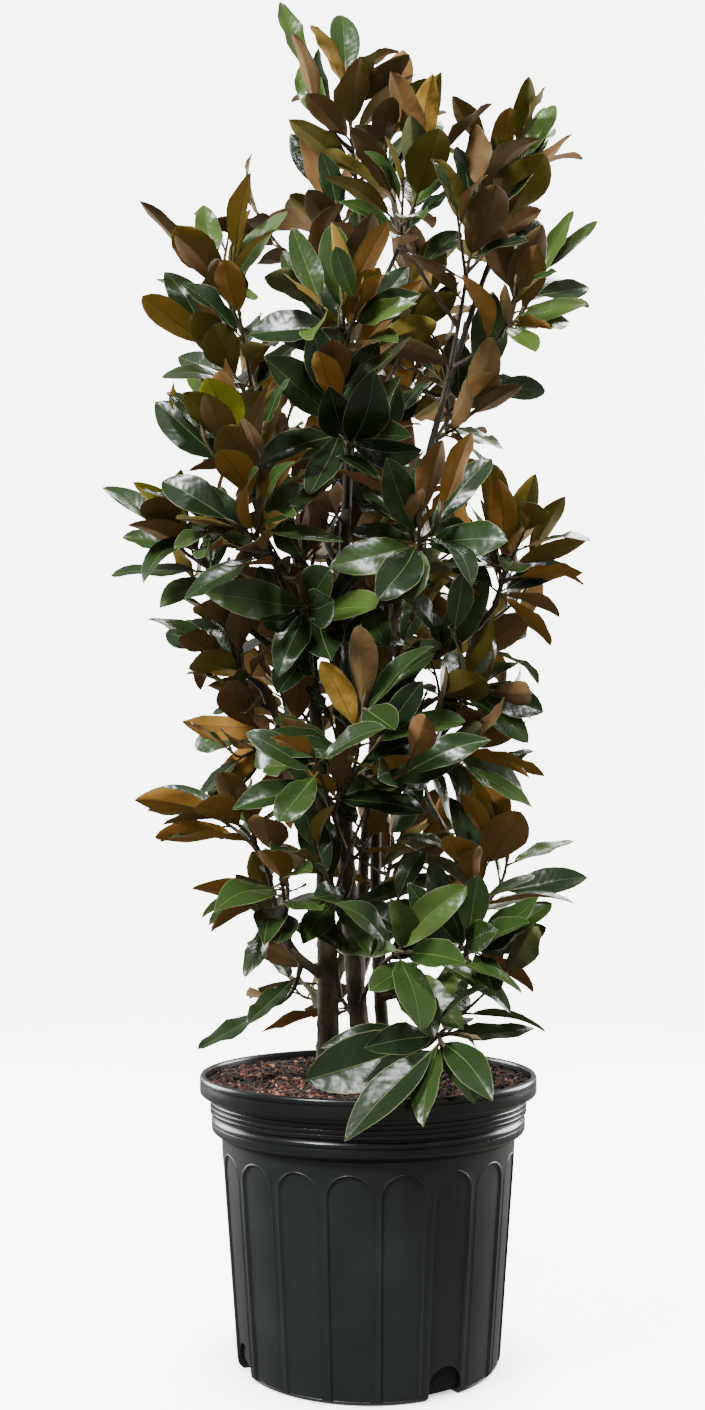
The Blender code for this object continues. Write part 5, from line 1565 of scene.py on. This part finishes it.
def make_chips():
    """Loose chips of bark in four plain colours, each an uneven little slab."""
    draw = random.Random(SEED + CHIP_DRAWS)
    heap = Heap()
    edge = RIM_RADIUS - 0.0095
    box = ((0, 1, 2, 3), (7, 6, 5, 4), (0, 4, 5, 1), (1, 5, 6, 2), (2, 6, 7, 3), (3, 7, 4, 0))
    corners = [(x, y, z) for z in (-1, 1) for x, y in ((-1, -1), (-1, 1), (1, 1), (1, -1))]
    for _ in range(CHIP_COUNT):
        size = CHIP_SIZES[0] + (CHIP_SIZES[1] - CHIP_SIZES[0]) * draw.random() ** 2.2
        reach = (edge - size * 0.5) * math.sqrt(draw.random())
        place = polar(draw.uniform(0, 360), reach, 0.0)
        place.z = bed_height(place.x, place.y) + draw.uniform(-0.0002, 0.0018)
        spin = Matrix.Rotation(draw.uniform(0, 2 * math.pi), 3, "Z")
        tip = Matrix.Rotation(draw.gauss(0, CHIP_TILT), 3, "X")
        tip = tip @ Matrix.Rotation(draw.gauss(0, CHIP_TILT), 3, "Y")
        half = Vector((size * 0.5, size * draw.uniform(0.22, 0.42),
                       size * draw.uniform(0.10, 0.26)))
        points = []
        for corner in corners:
            uneven = [side * axis * draw.uniform(0.55, 1.1) for side, axis in zip(corner, half)]
            points.append(place + spin @ tip @ Vector(uneven))
        number = draw.choices(range(4), CHIP_SHARES)[0]
        heap.add(points, box, number)
    materials = [chip_material(name, colour) for name, colour in CHIPS]
    item = new_piece("mix_chips", heap.points, heap.faces, materials, heap.indices, smooth=0)
    dress(item, "mix", "potting_mix")


# Stage, lights and camera

STAGE_GLOW = 7.0
STAGE_SIDES = 96
SKY_COLOUR = (1.0, 0.97, 0.88, 1.0)
SKY_STRENGTHS = (0.42, 0.56)

# Each lamp by name, place, the height on the pot's axis that it faces, its size and its power.
LAMPS = (
    ("key", (-2.1, -2.2, 3.3), 0.9, 0.9, 300),
    ("side_left", (-2.4, 1.5, 1.0), 0.7, 1.8, 150),
    ("side_right", (2.4, 1.5, 1.0), 0.7, 1.8, 150),
    ("front_top", (0.4, -1.7, 3.2), 0.9, 0.5, 90),
    ("crown", (0.6, 1.9, 3.6), 1.1, 1.6, 120),
)


def stage_glow_with_painted_shadow(name, colour, roughness):
    """A surface that glows by itself, with a painted contact shadow where something stands
    close to it.
    """
    material, tree, shader = shader_of(name, {
        "Base Color": (*colour, 1.0), "Roughness": roughness, "Specular IOR Level": 0.1,
        "Emission Color": (*colour, 1.0)})
    # Painted shadow: the glow dims by ambient occlusion near whatever stands close by.
    near = add(tree, "AmbientOcclusion", {"Distance": 0.10}, "AO", samples=8)
    glow_with_painted_shadow = span(tree, near, 0.0, 1.0, STAGE_GLOW * 0.10, STAGE_GLOW)
    join(tree, shader, {"Emission Strength": glow_with_painted_shadow})
    return material


def make_stage():
    """A pale floor that runs up into a round pale wall, the same from every side."""
    profile = [(2.0, 0.0), (3.6, 0.0), (4.2, 0.05), (4.7, 0.25), (5.0, 0.60), (5.15, 1.1),
               (5.2, 2.0), (5.2, 6.5)]
    points = [Vector((0, 0, 0))]
    for radius, height in profile:
        points += circle(radius, height, STAGE_SIDES)
    faces = [(0, 1 + k, 1 + (k + 1) % STAGE_SIDES) for k in range(STAGE_SIDES)]
    faces += [face[::-1] for face in ring_faces(len(profile), STAGE_SIDES, 1)]
    pale = stage_glow_with_painted_shadow("studio_pale", (0.86, 0.86, 0.85), 0.9)
    floor = new_piece("studio_floor", points, faces, [pale], smooth=60)
    floor.visible_glossy = False
    floor.visible_diffuse = False


def area_light(name, place, height, size, power):
    """A round lamp that faces the pot's axis at a height."""
    data = bpy.data.lights.new(name, "AREA")
    data.shape = "DISK"
    data.size = size
    data.energy = power
    item = bpy.data.objects.new(name, data)
    item.location = place
    heading = Vector((0, 0, height)) - Vector(place)
    item.rotation_euler = heading.to_track_quat("-Z", "Y").to_euler()
    item.visible_camera = False
    show(item)


def make_lights():
    world = bpy.data.worlds.new("studio_sky")
    world.use_nodes = True
    tree = world.node_tree
    strength = span(tree, height_in(tree, "Generated"), -0.25, 0.25, *SKY_STRENGTHS)
    join(tree, tree.nodes["Background"], {"Color": SKY_COLOUR, "Strength": strength})
    bpy.context.scene.world = world
    for lamp in LAMPS:
        area_light(*lamp)


def make_camera():
    data = bpy.data.cameras.new("camera")
    data.lens = CAMERA_LENS
    data.sensor_width = CAMERA_SENSOR
    data.clip_start = 0.05
    item = bpy.data.objects.new("camera", data)
    item.location = CAMERA_PLACE
    item.rotation_euler = (math.radians(90 + CAMERA_PITCH), 0.0, 0.0)
    bpy.context.scene.camera = show(item)


# The plant, zone by zone

ZONES = {
    "crown_top": "top top_right top_left top_back",
    "right_leader": "right_leader_tip right_leader_inner right_leader_outer right_upper",
    "left_leader": "left_leader_tip left_leader_outer left_inner",
    "upper_front": "front_high front_centre front_left_upper front_left_lower front_right_upper",
    "middle_left": "left_edge left_mid left_mid_low front_mid_left front_mid",
    "middle_right": "right_edge right_mid right_mid_low front_lower",
    "lower_left": "front_lower_left left_low left_low_front left_lowest",
    "lower_right": "right_low right_low_upright front_low front_lowest",
    "back_upper": "back_top back_high back_centre",
    "back_lower": "back_mid_left back_right back_low back_lowest",
}


def nearest_mass(plans, place):
    """The name of the mass whose tip is nearest to a place."""
    return min(plans, key=lambda plan: (plan["shoots"][0][-1] - place).length)["mass"].name


def make_crown(limbs):
    plans, space = plan_foliage(limbs)
    extra = carry_on(plans, space, limbs)
    for plan in plans:
        plan["wears"] = plan["mass"].name
    for plan in extra:
        plan["wears"] = nearest_mass(plans, plan["fine"][0][-1])
    leaf_colours = leaf_materials()
    old_twig = twig_material("twig_old", (0.026, 0.019, 0.011), (0.062, 0.046, 0.028), 0.8)
    young_twig = twig_material("twig_young", (0.045, 0.028, 0.011), (0.085, 0.060, 0.024), 0.7)
    bud = twig_material("bud_felt", (0.080, 0.060, 0.026), (0.130, 0.100, 0.048), 0.85)
    for number, (zone, masses) in enumerate(ZONES.items()):
        draw = random.Random(SEED + ZONE_DRAWS + number)
        names = masses.split()
        blades, twigs, buds = [], Heap(), Heap()
        for plan in plans + extra:
            if plan["wears"] not in names:
                continue
            blades += blades_of(plan, draw)
            for rank, knots in enumerate(plan["shoots"]):
                share = SIDE_TWIG_SHARE if rank else 1.0
                add_twig(twigs, knots, TWIG_RADIUS * share, TWIG_TIP_RADIUS, draw)
                add_bud(buds, knots, draw.uniform(*BUD_LENGTHS), BUD_RADIUS)
            for knots in plan["fine"]:
                add_twig(twigs, knots, FINE_RADIUS, FINE_TIP_RADIUS, draw, 0.35)
                add_bud(buds, knots, draw.uniform(*FINE_BUD_LENGTHS), FINE_BUD_RADIUS)
        pieces = (make_leaves(zone + "_leaves", blades, leaf_colours),
                  new_piece(zone + "_twigs", twigs.points, twigs.faces, [old_twig, young_twig],
                            twigs.indices, smooth=60),
                  new_piece(zone + "_buds", buds.points, buds.faces, [bud], smooth=60))
        for piece in pieces:
            dress(piece, "foliage", *("leaves_" + name for name in names))


def build():
    make_camera()
    make_lights()
    make_stage()
    limbs = plan_limbs()
    make_limb_skins(limbs)
    make_pot_shell()
    make_bed()
    make_chips()
    make_crown(limbs)


build()
